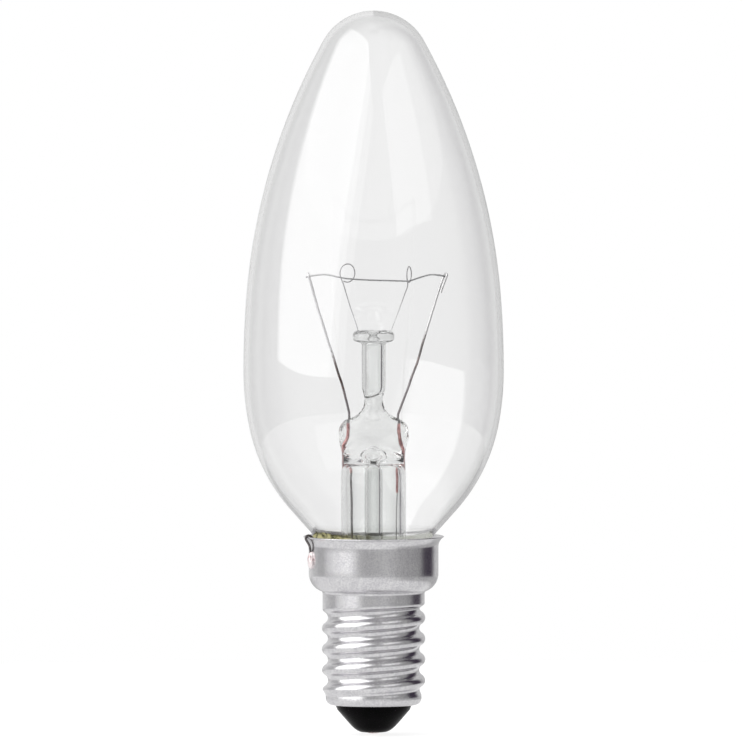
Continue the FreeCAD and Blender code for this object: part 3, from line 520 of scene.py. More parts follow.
# %% Glass material
def noise(place, size, detail=2.0, roughness=0.5):
    """Soft random values from 0 to 1 whose lumps are about that many millimetres wide."""
    return place.node("ShaderNodeTexNoise", inputs={
        "Vector": place, "Scale": 1 / (size * MM), "Detail": detail, "Roughness": roughness})


def bump(height, depth):
    """A normal that is raised by up to depth millimetres where the height is 1."""
    return height.node("ShaderNodeBump", inputs={
        "Height": height, "Distance": depth * MM, "Strength": 1.0})


def finish_surface(start, inputs):
    """Ends a material with a Principled shader that has those inputs."""
    surface = start.node("ShaderNodeBsdfPrincipled", inputs=inputs)
    surface.node("ShaderNodeOutputMaterial", inputs={"Surface": surface})


def clear_glass(name, tint, ripple_size, ripple_depth):
    """Glass with a pale tint and a slow ripple, whose size and depth are in millimetres."""
    material, place = new_material(name)
    ripple = noise(place, ripple_size)
    finish_surface(ripple, {
        "Base Color": (*tint, 1), "Roughness": 0.0, "IOR": 1.5, "Transmission Weight": 1.0,
        "Normal": bump(ripple, ripple_depth)})
    return material


def dress(piece, material, node_names):
    """Finishes a piece that stands for those parts of the model."""
    piece.data.materials.clear()
    piece.data.materials.append(material)
    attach(piece, "root")
    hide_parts(*node_names)


bulb_glass = clear_glass("bulb_glass", (0.953, 0.953, 0.953), 14.0, 0.012)
dress(envelope, bulb_glass, ["glass_envelope"])
print("bulb glass is on")

# %% [markdown]
# ## The glass stem
# The stem starts as a flared tube. Its top is heated and pinched flat round the wires, which
# makes the press; a thinner tube for pumping is melted into it from below, and a rod with a
# button is drawn up from it. All of it melts into one body of glass, so it is one closed mesh
# here. Rings of a rounded-square shape pass smoothly from the round tube to the flat press and
# back to the round rod.

# %% Stem outline
STEM_RINGS = (  # height and radius, or height, half width, half depth and squareness
    (20.8, 6.35), (21.1, 6.3), (22.3, 5.5), (24.0, 4.72), (26.5, 4.37), (31.0, 4.35),
    (34.2, 4.35), (35.4, 4.33, 4.18, 2.0), (36.4, 4.25, 3.80, 2.0),
    (37.4, 4.22, 3.36, 2.05), (38.4, 4.4, 2.92, 2.2), (39.3, 4.6, 2.53, 2.4),
    (40.1, 4.68, 2.20, 2.6), (40.9, 4.66, 1.90, 2.7), (41.6, 4.42, 1.68, 2.6),
    (42.15, 3.85, 1.54, 2.5), (42.5, 3.1, 1.5, 2.3), (42.95, 2.35, 1.45, 2.1),
    (43.6, 1.68, 1.36, 2.0), (44.4, 1.3, 1.25, 2.0), (45.2, 1.24), (46.0, 1.42),
    (46.9, 1.6), (50.0, 1.62), (52.0, 1.62), (52.5, 1.68), (52.68, 2.1), (52.85, 2.55),
    (53.2, 2.76), (53.75, 2.74), (54.12, 2.5), (54.28, 2.0), (54.25, 1.0), (54.25, 0.0),
)


def through_points(rows, steps):
    """A smooth curve through rows of numbers, with that many points from row to row."""
    rows = np.asarray(rows, float)
    ends = np.concatenate([2 * rows[:1] - rows[1:2], rows, 2 * rows[-1:] - rows[-2:-1]])
    share = np.linspace(0, 1, steps, endpoint=False)[:, None]
    pieces = []
    for before, start, end, after in zip(ends, ends[1:], ends[2:], ends[3:]):
        leave, arrive = (end - before) / 2, (after - start) / 2
        pieces.append((2 * share ** 3 - 3 * share ** 2 + 1) * start
                      + (share ** 3 - 2 * share ** 2 + share) * leave
                      + (3 * share ** 2 - 2 * share ** 3) * end
                      + (share ** 3 - share ** 2) * arrive)
    return np.concatenate(pieces + [rows[-1:]])


def between_rings(rings, steps):
    """Rings with more between them; a row of height and radius alone is a round ring."""
    full = [ring if len(ring) == 4 else (*ring, ring[1], 2.0) for ring in rings]
    return through_points(full, steps)


def ring_points(ring, segments):
    """One ring of the stem, an ellipse where its squareness is 2, and squarer above that."""
    height, width, depth, square = ring
    turn = np.linspace(0, 2 * math.pi, segments, endpoint=False)
    across, along = np.cos(turn), np.sin(turn)
    x = max(width, 0) * np.sign(across) * np.abs(across) ** (2 / square)
    y = max(depth, 0) * np.sign(along) * np.abs(along) ** (2 / square)
    return np.stack([x, y, np.full(segments, height)], 1)


print("stem rings:", len(STEM_RINGS))

# %% Stem skin
BORE_RINGS = (  # up the pump tube, over to the flare tube's inner wall, and down that
    (10.6, 0.0), (10.65, 0.6), (10.95, 1.05), (11.6, 1.225), (20.0, 1.225), (30.0, 1.225),
    (34.6, 1.225), (35.6, 1.27), (36.15, 1.5), (36.4, 2.0), (36.42, 2.7, 2.65, 2.0),
    (36.25, 3.2, 3.1, 2.0), (35.8, 3.47, 3.42, 2.0), (34.9, 3.55), (33.0, 3.55), (28.0, 3.55),
    (25.0, 3.7), (22.8, 4.55), (21.3, 5.5), (20.85, 5.9),
)
WAVER_PLACE = Vector((3.1, 7.7, 1.9))
MELT_START, MELT_END, BUTTON_START = (35.5, 37.0), (43.5, 45.5), (52.6, 53.0)
BUTTON_SHARE = 0.4


def waver(points):
    """Small lumps where the glass was melted and pinched, none on the drawn tube and rod.

    They are large and weak, with smaller ones over them, and fainter on the button.
    """
    height = points[:, 2]
    melted = ramp(height, *MELT_START) * (1 - ramp(height, *MELT_END))
    melted += BUTTON_SHARE * ramp(height, *BUTTON_START)
    moved = points.copy()
    for row, share in enumerate(melted):
        if share > 0:
            lump = noise_vector(Vector(points[row]) * 0.55 + WAVER_PLACE) * 0.10
            lump += noise_vector(Vector(points[row]) * 1.3) * 0.03
            moved[row] += np.array(lump) * share
    return moved


def skinned(name, rings, segments):
    """A closed skin over rings; a ring of no size closes to a point."""
    points = np.concatenate([ring_points(ring, segments) for ring in rings])
    return mesh_object(name, waver(points), grid_faces(len(rings), segments))


stem = skinned("stem_glass", np.concatenate([
    between_rings(BORE_RINGS, 4), between_rings(STEM_RINGS, 5)]), 96)
print("stem faces:", len(stem.data.polygons))

# %% [markdown]
# ## Hollows in the stem
# The rod is a tube, closed by the button above and by a slanted drop of melted glass below. The
# pump tube's bore leaves the press through a hole that was blown out of its front, with a
# molten rim. Both are cut out of the stem as a glass worker would blow them: after the rest.

# %% Cutting and sweeping
def cut(piece, tool, operation):
    """Joins a tool to a piece or takes it away, and removes the tool."""
    modifier = piece.modifiers.new("cut", "BOOLEAN")
    modifier.operation, modifier.object, modifier.solver = operation, tool, "EXACT"
    evaluated = piece.evaluated_get(bpy.context.evaluated_depsgraph_get())
    mesh = bpy.data.meshes.new_from_object(evaluated)
    piece.modifiers.remove(modifier)
    piece.data = mesh
    bpy.data.objects.remove(tool)
    return piece


def swept(name, path, radii, segments=40):
    """A closed round skin along a smooth path in the plane x = 0, as (y, z, radius) rows."""
    rows = through_points(np.column_stack([path, radii]), 6)
    ahead = np.gradient(rows[:, :2], axis=0)
    ahead /= np.linalg.norm(ahead, axis=1)[:, None]
    turn = np.linspace(0, 2 * math.pi, segments, endpoint=False)
    points = [(r * math.cos(t), y - r * math.sin(t) * along[1], z + r * math.sin(t) * along[0])
              for (y, z, r), along in zip(rows, ahead) for t in turn]
    last = (len(rows) - 1) * segments
    caps = [tuple(range(segments)), tuple(range(last, last + segments))]
    return mesh_object(name, points, grid_faces(len(rows), segments) + caps)


print("cutting and sweeping are ready")

# %% Hollows
HOLE_HEIGHT, HOLE_FRONT, HOLE_LEAN = 37.6, -3.45, math.radians(20)
HOLE_WIDTH, HOLE_RISE, RIM_THICK = 1.35, 0.78, 0.36
FUNNEL, SQUEEZE, WIDEN = (1.2, 3.0), 0.4, 0.3  # where the bore turns oval, and by how much
SLANT_RIGHT, SLANT_BACK, SLANT_FADE = 0.45, 0.2, (45.8, 47.5)


def rod_hollow():
    """The rod's bore, rounded at the top and slanted at its foot."""
    side = [(0, 45.5), (0.45, 45.52), (0.78, 45.6), (0.94, 45.8), (1.0, 46.2), (1.02, 46.8),
            (1.02, 52.4), (0.96, 52.9), (0.7, 53.25), (0.35, 53.45), (0, 53.5)]

    def slant(radius, height, turn):
        """Raises the foot of the bore towards the right and the back."""
        x, y = radius * np.cos(turn), radius * np.sin(turn)
        rise = SLANT_RIGHT * x + SLANT_BACK * y
        return x, y, height + rise * (1 - ramp(height, *SLANT_FADE))

    return turned("rod_hollow", side, 64, slant)


def hole_rim(turns=48, sides=20):
    """The molten ring round the hole in the press."""
    points = []
    for t in np.linspace(0, 2 * math.pi, turns, endpoint=False):
        for s in np.linspace(0, 2 * math.pi, sides, endpoint=False):
            reach = 1.0 + RIM_THICK * math.cos(s)
            up = HOLE_RISE * reach * math.sin(t)
            out = RIM_THICK * math.sin(s)
            points.append((HOLE_WIDTH * reach * math.cos(t),
                           HOLE_FRONT + up * math.sin(HOLE_LEAN) - out * math.cos(HOLE_LEAN),
                           HOLE_HEIGHT + up * math.cos(HOLE_LEAN) + out * math.sin(HOLE_LEAN)))
    return mesh_object("hole_rim", points, grid_faces(turns, sides, closed=True))


def pump_hollow():
    """The bore of the pump tube, from above its sealed tip to the hole in the press.

    It flattens and widens towards the hole, which is oval.
    """
    path = [(0, 11.3), (0, 11.45), (0, 12.0), (0, 20.0), (0, 30.0), (0, 35.6), (-0.1, 36.7),
            (-0.75, 37.6), (-1.9, 37.85), (-3.4, 37.62), (-5.2, 37.4)]
    radii = [0.2, 0.5, 0.72, 0.75, 0.75, 0.75, 0.75, 0.77, 0.8, 0.88, 1.0]
    hollow = swept("pump_hollow", path, radii)
    for vert in hollow.data.vertices:
        near = float(ramp(-vert.co.y / MM, *FUNNEL))
        vert.co.z += (HOLE_HEIGHT * MM - vert.co.z) * SQUEEZE * near
        vert.co.x *= 1 + WIDEN * near
    return hollow


stem = cut(stem, hole_rim(), "UNION")
stem = cut(stem, pump_hollow(), "DIFFERENCE")
stem = cut(stem, rod_hollow(), "DIFFERENCE")
stem.data.set_sharp_from_angle(angle=math.radians(50))
stem_glass = clear_glass("stem_glass", (0.974, 0.982, 0.976), 3.0, 0.006)
dress(stem, stem_glass, ["stem_tube", "exhaust_tube", "support_rod"])
print("stem faces with its hollows:", len(stem.data.polygons))

# %% [markdown]
# ## The screw shell
# The cap's sleeve is drawn from thin sheet and its thread is rolled in, so crest and root are
# round, and the first turn grows out of the plain collar. The thread is a right-handed screw:
# one turn round the lamp lifts it by one pitch. The mesh is turned first, and each point then
# moves in or out by its place on that screw.

# %% Screw shell
RIM_RADIUS, RIM_HEIGHT, FLARE_FOOT = 9.46, 26.5, 25.2
SKIRT_RADIUS, SKIRT_FOOT = 8.725, 21.6
COLLAR_RADIUS, SHOULDER_HEIGHT, SHOULDER_ROUND = 6.87, 19.15, 0.2
THREAD_MAJOR, THREAD_MINOR, PITCH = 6.945, 6.145, 2.822
FIRST_CREST = 15.63
KNUCKLE = PITCH ** 2 / 16 / (THREAD_MAJOR - THREAD_MINOR) + (THREAD_MAJOR - THREAD_MINOR) / 4
LIP_RADIUS, LIP_HEIGHT, LIP_ROUND, LIP_SIDE = 5.45, 3.9, 0.85, 6.45
SHEET = 0.25
TAPER = (5.3, 17.2)  # heights between which the plain sleeve widens from the lip to the collar
THREAD_START, THREAD_END, CREST_END = (5.0, 6.2), (16.8, 17.6), (15.9, 16.6)


def plain_radius(height):
    """The sleeve's radius before its thread is rolled in."""
    return LIP_SIDE + (COLLAR_RADIUS - LIP_SIDE) * ramp(height, *TAPER)


def thread_radius(height, turn):
    """The rolled thread: arcs of one radius, bulging out at a crest and in at a root."""
    phase = (height - FIRST_CREST - PITCH * turn / (2 * math.pi)) / PITCH
    off = (phase - np.round(phase)) * PITCH
    crest = THREAD_MAJOR - KNUCKLE + np.sqrt(np.maximum(KNUCKLE ** 2 - off ** 2, 0))
    away = PITCH / 2 - np.abs(off)
    root = THREAD_MINOR + KNUCKLE - np.sqrt(np.maximum(KNUCKLE ** 2 - away ** 2, 0))
    return np.where(np.abs(off) < PITCH / 4, crest, root)


def roll(radius, height, turn):
    """Presses the thread into the turned sleeve, fading at the collar and at the lip."""
    share = ramp(height, *THREAD_START) * (1 - ramp(height, *THREAD_END))
    widest = COLLAR_RADIUS + (THREAD_MAJOR - COLLAR_RADIUS) * (1 - ramp(height, *CREST_END))
    pressed = np.minimum(thread_radius(height, turn), widest)
    moved = radius + share * (pressed - plain_radius(height))
    return moved * np.cos(turn), moved * np.sin(turn), height


def shell_side(inset, rows):
    """Up the sleeve from the lip to the rim; the thread's part follows the plain middle."""
    knee = LIP_ROUND - inset
    bend = ((SKIRT_RADIUS - COLLAR_RADIUS) ** 2 + (SKIRT_FOOT - SHOULDER_HEIGHT) ** 2)
    bend /= 2 * (SKIRT_RADIUS - COLLAR_RADIUS)
    flare = ((RIM_RADIUS - SKIRT_RADIUS) ** 2 + (RIM_HEIGHT - FLARE_FOOT) ** 2)
    flare /= 2 * (RIM_RADIUS - SKIRT_RADIUS)
    low = math.asin((SKIRT_FOOT - SHOULDER_HEIGHT) / bend)
    high = math.asin((RIM_HEIGHT - FLARE_FOOT) / flare)
    middle = np.linspace(LIP_HEIGHT + LIP_ROUND, SHOULDER_HEIGHT - SHOULDER_ROUND, rows)
    return np.concatenate([
        run((LIP_RADIUS, LIP_HEIGHT + inset), (LIP_SIDE - LIP_ROUND, LIP_HEIGHT + inset), 2),
        arc((LIP_SIDE - LIP_ROUND, LIP_HEIGHT + LIP_ROUND), knee, -math.pi / 2, 0, 8),
        np.stack([plain_radius(middle) - inset, middle], 1),
        arc((COLLAR_RADIUS + SHOULDER_ROUND - inset, SHOULDER_HEIGHT - SHOULDER_ROUND),
            SHOULDER_ROUND, math.pi, math.pi * 0.6, 4),
        arc((SKIRT_RADIUS - bend, SKIRT_FOOT), bend - inset, -low * 0.96, 0, 14),
        run((SKIRT_RADIUS - inset, SKIRT_FOOT), (SKIRT_RADIUS - inset, FLARE_FOOT), 6),
        arc((SKIRT_RADIUS + flare, FLARE_FOOT), flare + inset, math.pi, math.pi - high, 10),
    ])


def screw_shell():
    """The drawn shell: its outer side, a round rim and its inner side, with the thread rolled in."""
    outside, inside = shell_side(0, 150), shell_side(SHEET, 90)
    edge = np.array([RIM_RADIUS - SHEET / 2, RIM_HEIGHT])
    rim = arc(edge, SHEET / 2, 0, math.pi, 6)
    outline = np.concatenate([outside, rim, inside[::-1]])
    return turned("cap_sleeve", outline, 192, roll)


shell = screw_shell()
print("sleeve faces:", len(shell.data.polygons))

# %% Cap metal
def metal_surface(colour, roughness, normal):
    """Ends a material as a metal."""
    finish_surface(colour, {"Base Color": colour, "Roughness": roughness, "Metallic": 1.0,
                            "Normal": normal})


def tinned_sheet():
    """Satin sheet: a fine mottled grain, and faint upright marks from drawing."""
    material, place = new_material("tinned_sheet")
    grain = noise(place, 0.22, 3.0, 0.6)
    cloud = noise(place, 1.6, 3.0)
    drawn = noise(place.vector("MULTIPLY", (1.0, 1.0, 0.08)), 0.35)
    mottle = grain * 0.6 + cloud * 0.25 + drawn * 0.15
    colour = mottle.smooth(0.35, 0.65).tint((0.545, 0.535, 0.56), (0.72, 0.715, 0.72))
    metal_surface(colour, mottle.smooth(0.3, 0.7, 0.27, 0.18), bump(mottle, 0.006))
    return material


cap_metal = tinned_sheet()
dress(shell, cap_metal, ["screw_shell"])
print("cap metal is on")

# %% [markdown]
# ## Wires
# Every wire in the lamp is a bent round rod, so one Geometry Nodes tree makes them all. It takes
# the corners of a wire as a chain of edges, rounds each corner, and sweeps a circle along it. A
# slow waver, the same everywhere in space, keeps joined wires together and takes away the
# ruler-straight look that no bent wire has.

# %% Geometry trees
def geometry_tree(name, sizes):
    """A tree with a geometry, a material and named sizes, and its input sockets by name."""
    tree = bpy.data.node_groups.new(name, "GeometryNodeTree")
    tree.interface.new_socket("Geometry", in_out="OUTPUT", socket_type="NodeSocketGeometry")
    tree.interface.new_socket("Geometry", in_out="INPUT", socket_type="NodeSocketGeometry")
    tree.interface.new_socket("Material", in_out="INPUT", socket_type="NodeSocketMaterial")
    for size in sizes:
        tree.interface.new_socket(size, in_out="INPUT", socket_type="NodeSocketFloat")
    start = tree.nodes.new("NodeGroupInput")
    return tree, {out.name: Socket(tree, out) for out in start.outputs if out.name}


def finish_tree(geometry, material):
    """Ends a tree: real geometry, smooth, with its material."""
    real = geometry.node("GeometryNodeRealizeInstances", inputs={0: geometry})
    smooth = real.node("GeometryNodeSetShadeSmooth", inputs={0: real})
    named = smooth.node("GeometryNodeSetMaterial", inputs={
        "Geometry": smooth, "Material": material})
    named.node("NodeGroupOutput", inputs={0: named})


def grow(name, points, tree, sizes):
    """Runs a tree on a chain of points in millimetres and keeps the result as a plain mesh."""
    mesh = bpy.data.meshes.new(name)
    edges = [(i, i + 1) for i in range(len(points) - 1)]
    mesh.from_pydata([Vector(p) * MM for p in points], edges, [])
    piece = add_object(name, mesh)
    modifier = piece.modifiers.new("grow", "NODES")
    modifier.node_group = tree
    for item in tree.interface.items_tree:
        if item.in_out == "INPUT" and item.name in sizes:
            modifier[item.identifier] = sizes[item.name]
    evaluated = piece.evaluated_get(bpy.context.evaluated_depsgraph_get())
    piece.data, old = bpy.data.meshes.new_from_object(evaluated), piece.data
    piece.modifiers.clear()
    bpy.data.meshes.remove(old)
    return piece


print("geometry trees are ready")

# %% Wire tree
def wavering(path, amount):
    """Moves a path a little, by noise that depends only on where a point is."""
    place = path.node("GeometryNodeInputPosition")
    lumps = noise(place, 3.5, 1.0).other("Color")
    off = lumps.vector("SUBTRACT", (0.5, 0.5, 0.5)).vector("SCALE", amount, "Scale")
    return path.node("GeometryNodeSetPosition", inputs={"Geometry": path, "Offset": off})


def wire_tree():
    """Rounds the corners of a chain of edges and sweeps a circle along it."""
    tree, given = geometry_tree("bent_wire", ("Diameter", "Bend radius", "Waver"))
    path = add_node(tree, "GeometryNodeMeshToCurve", inputs={"Mesh": given["Geometry"]})
    path = path.node("GeometryNodeFilletCurve", {"mode": "POLY"}, {
        "Curve": path, "Count": 7, "Radius": given["Bend radius"], "Limit Radius": True})
    path = path.node("GeometryNodeResampleCurve", {"mode": "LENGTH"},
                     {"Curve": path, "Length": 0.25 * MM})
    path = wavering(path, given["Waver"])
    ring = path.node("GeometryNodeCurvePrimitiveCircle", {"mode": "RADIUS"},
                     {"Resolution": 14, "Radius": given["Diameter"] / 2})
    swept_wire = path.node("GeometryNodeCurveToMesh", inputs={
        "Curve": path, "Profile Curve": ring, "Fill Caps": True})
    finish_tree(swept_wire, given["Material"])
    return tree


bent_wire = wire_tree()


def wire(name, points, diameter, bend, material, waver=0.25):
    """One bent wire that stands for the part of the model with the same name."""
    piece = grow(name + "_drawn", points, bent_wire, {
        "Diameter": diameter * MM, "Bend radius": bend * MM, "Waver": waver * MM,
        "Material": material})
    dress(piece, material, [name])
    return piece


print("wire tree nodes:", len(bent_wire.nodes))

# %% [markdown]
# ## Wire finishes
# The leads are nickel. The flame that seals the stem leaves them brown and nearly black a few
# millimetres above the press, and the brown fades into clean grey metal towards the filament.
# The stretch inside the press is a copper-clad wire, pink-red under its skin of glass.

# %% Wire materials
STAIN_START, STAIN_END, DULL_TO = (45.5, 48.5), (53.0, 50.8), (46.0, 49.0)


def over(value, span, start=0.0, end=1.0):
    """Goes smoothly from start to end over a span in millimetres."""
    return value.smooth(span[0] * MM, span[1] * MM, start, end)


def lead_nickel():
    """Nickel with flame stains that depend on the height."""
    material, place = new_material("lead_nickel")
    x, _, z = place.parts()
    spots = noise(place, 0.5, 3.0, 0.6)
    height = z - x * 0.25 + (spots - 0.5) * (3.0 * MM)
    stained = over(height, STAIN_START) * over(height, STAIN_END)
    stained = stained * over(x, (-3.0, 3.0), 1.0, 0.72)
    dull = over(height, DULL_TO, 1.0, 0.0)
    brown = spots.smooth(0.35, 0.65).tint((0.05, 0.032, 0.032), (0.20, 0.10, 0.085))
    clean = spots.smooth(0.3, 0.7).tint((0.85, 0.84, 0.84), (0.97, 0.96, 0.96))
    clean = dull.tint(clean, (0.30, 0.27, 0.28))
    colour = stained.tint(clean, brown)
    metal_surface(colour, stained.smooth(0, 1, 0.28, 0.5), bump(spots, 0.01))
    return material


def clad_copper(name, dark, light, painted_shade_from=None):
    """Copper with patches of oxide, and grey painted shade above that height in millimetres."""
    material, place = new_material(name)
    patch = noise(place, 0.6, 3.0, 0.6)
    colour = patch.smooth(0.35, 0.65).tint(dark, light)
    # The grey above that height is painted shade, not a colour of the copper
    if painted_shade_from:
        height = place.parts()[2] + (patch - 0.5) * (1.5 * MM)
        grey = patch.smooth(0.3, 0.7).tint((0.10, 0.09, 0.09), (0.24, 0.22, 0.22))
        colour = over(height, (painted_shade_from, painted_shade_from + 1)).tint(colour, grey)
    metal_surface(colour, patch.smooth(0.3, 0.7, 0.5, 0.32), bump(patch, 0.01))
    return material


def grey_wire(name, dark, light, roughness, pale_below=0.0):
    """A drawn grey wire with a fine grain, and nearly white below that height in millimetres."""
    material, place = new_material(name)
    grain = noise(place, 0.12)
    colour = grain.smooth(0.3, 0.7).tint(dark, light)
    low = over(place.parts()[2], (pale_below, pale_below - 5))
    metal_surface(low.tint(colour, (0.95, 0.95, 0.95)),
                  grain.smooth(0.2, 0.8, roughness, roughness + 0.15), bump(grain, 0.004))
    return material


nickel = lead_nickel()
seal_copper = clad_copper("seal_copper", (0.42, 0.12, 0.12), (0.85, 0.42, 0.40))
# Above 22 mm this lead is painted dark grey: painted shade, mostly where it runs down inside the
# flare tube
lead_copper = clad_copper("lead_copper", (0.30, 0.17, 0.15), (0.70, 0.47, 0.42), 22.0)
molybdenum = grey_wire("molybdenum", (0.34, 0.33, 0.34), (0.52, 0.51, 0.52), 0.25, 60.5)
fuse_metal = grey_wire("fuse_metal", (0.34, 0.33, 0.34), (0.52, 0.51, 0.52), 0.25)
tungsten = grey_wire("tungsten", (0.20, 0.20, 0.21), (0.36, 0.36, 0.37), 0.35)
print("wire materials are ready")

# %% Leads
LEAD, SEAL_LEAD, FUSE, SUPPORT = 0.32, 0.40, 0.16, 0.14


def clamp(fold, lean, across, half_gap=0.30, tail=2.7, leg=3.3):
    """The folded end of a lead: up its main leg, over, and back down a short tail."""
    fold, lean, across = Vector(fold), Vector(lean), Vector(across)
    main, back = fold - across * half_gap, fold + across * half_gap
    return [main - lean * leg, main, back, back - lean * tail]


left_lead = [(-3.25, 0, 41.5), (-3.27, 0, 43.2), (-4.3, 0, 47.2), (-7.0, 0, 55.65)]
left_lead += clamp((-8.8, 0, 61.9), (-0.277, 0, 0.961), (0, 1, 0))
right_lead = [(3.25, 0, 41.5), (3.25, 0, 43.0), (4.46, 0, 46.1), (5.83, 0, 50.0)]
right_lead += clamp((9.75, 0, 61.9), (0.325, 0, 0.946), (0.574, -0.819, 0))
wire("left_lead_wire", left_lead, LEAD, 0.25, nickel)
wire("right_lead_wire", right_lead, LEAD, 0.25, nickel)
wire("left_seal_wire", [(-3.25, 0, 41.6), (-3.35, 0, 39.8), (-3.8, 0, 37.6), (-3.15, 0, 35.0)],
     SEAL_LEAD, 1.5, seal_copper)
wire("right_seal_wire", [(3.25, 0, 41.6), (3.25, 0, 39.0), (3.75, 0, 37.0), (3.3, 0, 35.2),
                         (3.2, 0, 32.55)], SEAL_LEAD, 1.5, seal_copper)
print("leads are in")

# %% Leads in the cap
OVER_RIM = math.radians(198)


def at_side(radius, height):
    """A place at the side where the lead crosses the rim, a little in front of the left."""
    return radius * math.cos(OVER_RIM), radius * math.sin(OVER_RIM), height


wire("fuse_wire", [(3.2, 0, 32.55), (3.05, 0, 28.98), (3.1, 0, 25.8), (2.9, 0, 23.4)],
     FUSE, 2.0, fuse_metal)
wire("right_outer_lead", [(2.9, 0, 23.4), (2.9, 0, 19.5), (2.3, 0, 13.0), (1.2, 0, 9.2),
                          (0, 0, 7.0), (0, 0, 0.6)], LEAD, 2.0, lead_copper)
hook = [at_side(*place) for place in (
    (3.6, 20.6), (7.0, 20.25), (7.75, 20.7), (7.75, 24.6), (8.30, 26.2), (9.15, 26.95),
    (9.72, 26.55), (9.32, 25.95), (9.02, 25.45), (8.905, 24.8), (8.905, 23.0))]
wire("left_outer_lead", [(-3.15, 0, 35.0), (-2.95, 0, 31.0), (-2.95, 0, 24.0), *hook],
     LEAD, 0.5, lead_copper, waver=0.1)
print("cap leads are in")

# %% Supports
LOOP_START, LOOP_SWEEP, LOOP_STEPS = 205, 325, 26


def support(name, foot, centre, radius, turn):
    """A thin wire from the button that ends in an open loop round the filament."""
    turn = math.radians(turn)
    side, up = Vector((math.cos(turn), math.sin(turn), 0)), Vector((0, 0, 1))
    angles = [math.radians(LOOP_START - LOOP_SWEEP * step / LOOP_STEPS)
              for step in range(LOOP_STEPS + 1)]
    loop = [Vector(centre) + (side * math.cos(a) + up * math.sin(a)) * radius for a in angles]
    onward = side * math.sin(angles[0]) - up * math.cos(angles[0])
    return wire(name, [Vector(foot), loop[0] - onward * radius, *loop], SUPPORT, 0.8,
                molybdenum, waver=0.2)


support("left_support_wire", (-1.85, 0.25, 53.4), (-3.52, -0.96, 62.0), 1.24, 36)
support("right_support_wire", (2.05, 0.25, 53.4), (4.75, -1.05, 61.8), 1.08, 72)
print("supports are in")

# %% [markdown]
# ## The filament
# A tungsten wire thinner than a hair is wound into a coil, and the coil hangs from clamp to clamp
# through both loops. A Geometry Nodes tree winds it: the path is cut into even steps, each step
# turns a little further round the path, and a small ring is swept along the result.

# %% Filament
STEPS_A_TURN = 9
COIL = ((-9.1, 0, 61.42), (-8.3, -0.1, 61.62), (-6.5, -0.45, 61.80), (-4.7, -0.88, 61.47),
        (-3.5, -0.96, 61.26), (-0.75, -1.05, 61.08), (1.94, -1.10, 61.0), (4.2, -1.05, 60.93),
        (4.85, -1.05, 60.97), (5.95, -1.05, 61.33), (7.5, -0.98, 61.76), (8.66, -0.66, 61.72),
        (9.81, 0.14, 61.5))


def coil_tree():
    """Winds a wire round a path."""
    tree, given = geometry_tree("wound_coil", ("Coil radius", "Wire radius", "Turns"))
    path = add_node(tree, "GeometryNodeMeshToCurve", inputs={"Mesh": given["Geometry"]})
    count = given["Turns"] * STEPS_A_TURN
    path = path.node("GeometryNodeResampleCurve", {"mode": "COUNT"},
                     {"Curve": path, "Count": count})
    turn = path.node("GeometryNodeInputIndex") * (2 * math.pi / STEPS_A_TURN)
    side = path.node("GeometryNodeInputNormal")
    along = path.node("GeometryNodeInputTangent")
    radius = given["Coil radius"]
    across = side.vector("SCALE", turn.maths("COSINE") * radius, "Scale")
    up = along.vector("CROSS_PRODUCT", side)
    up = up.vector("SCALE", turn.maths("SINE") * radius, "Scale")
    path = path.node("GeometryNodeSetPosition", inputs={
        "Geometry": path, "Offset": across.vector("ADD", up)})
    ring = path.node("GeometryNodeCurvePrimitiveCircle", {"mode": "RADIUS"},
                     {"Resolution": 5, "Radius": given["Wire radius"]})
    wound = path.node("GeometryNodeCurveToMesh", inputs={
        "Curve": path, "Profile Curve": ring, "Fill Caps": True})
    finish_tree(wound, given["Material"])
    return tree


coil = grow("wound_filament", through_points(COIL, 12), coil_tree(), {
    "Coil radius": 0.1 * MM, "Wire radius": 0.024 * MM, "Turns": 200.0, "Material": tungsten})
dress(coil, tungsten, ["filament"])
print("filament faces:", len(coil.data.polygons))

# %% [markdown]
# ## The black end
# The foot of the cap is black glass, poured hot round the contact. It is smooth and shiny, runs
# down from the lip of the sleeve as a cone, and ends in a rounded nose round the contact.

# %% Black glass end
def black_glass():
    """Dark glass with a soft skin and a few faint ripples."""
    material, place = new_material("black_glass")
    ripple = noise(place, 1.2, 3.0)
    finish_surface(ripple, {
        "Base Color": ripple.smooth(0.3, 0.7).tint((0.0, 0.0, 0.0), (0.003, 0.002, 0.003)),
        "Roughness": ripple.smooth(0.3, 0.7, 0.3, 0.18), "Specular IOR Level": 0.04,
        "Normal": bump(ripple, 0.015)})
    return material


CONE = ((0, 6.9), (4.6, 6.9), (5.1, 6.6), (5.35, 5.4), (5.35, 4.3), (5.2, 3.92), (4.98, 3.5),
        (4.9, 3.25), (3.9, 2.08), (2.95, 1.02), (2.6, 0.7), (2.2, 0.42), (1.8, 0.25),
        (1.62, 0.22), (1.5, 0.3), (1.45, 0.6), (0, 0.6))
insulator = turned("black_end", CONE, 128)
dress(insulator, black_glass(), ["insulator"])
print("black end is on")

# %% [markdown]
# ## Contact and solder
# The current comes in through a small plate in the middle of the foot, and leaves through the
# sleeve. Each lead is soldered on: a low pip in the middle of the plate, and a blob on the side
# of the sleeve. Solder sets as it flows, so each is a lumpy round mesh and not a ball.

# %% Solder
def mottled_metal(name, grain, ends, roughness, depth):
    """A metal with soft patches: noise with that grain goes from one colour to the other."""
    material, place = new_material(name)
    skin = noise(place, *grain)
    metal_surface(skin.smooth(0.3, 0.7).tint(*ends), skin.smooth(0.3, 0.7, *roughness),
                  bump(skin, depth))
    return material


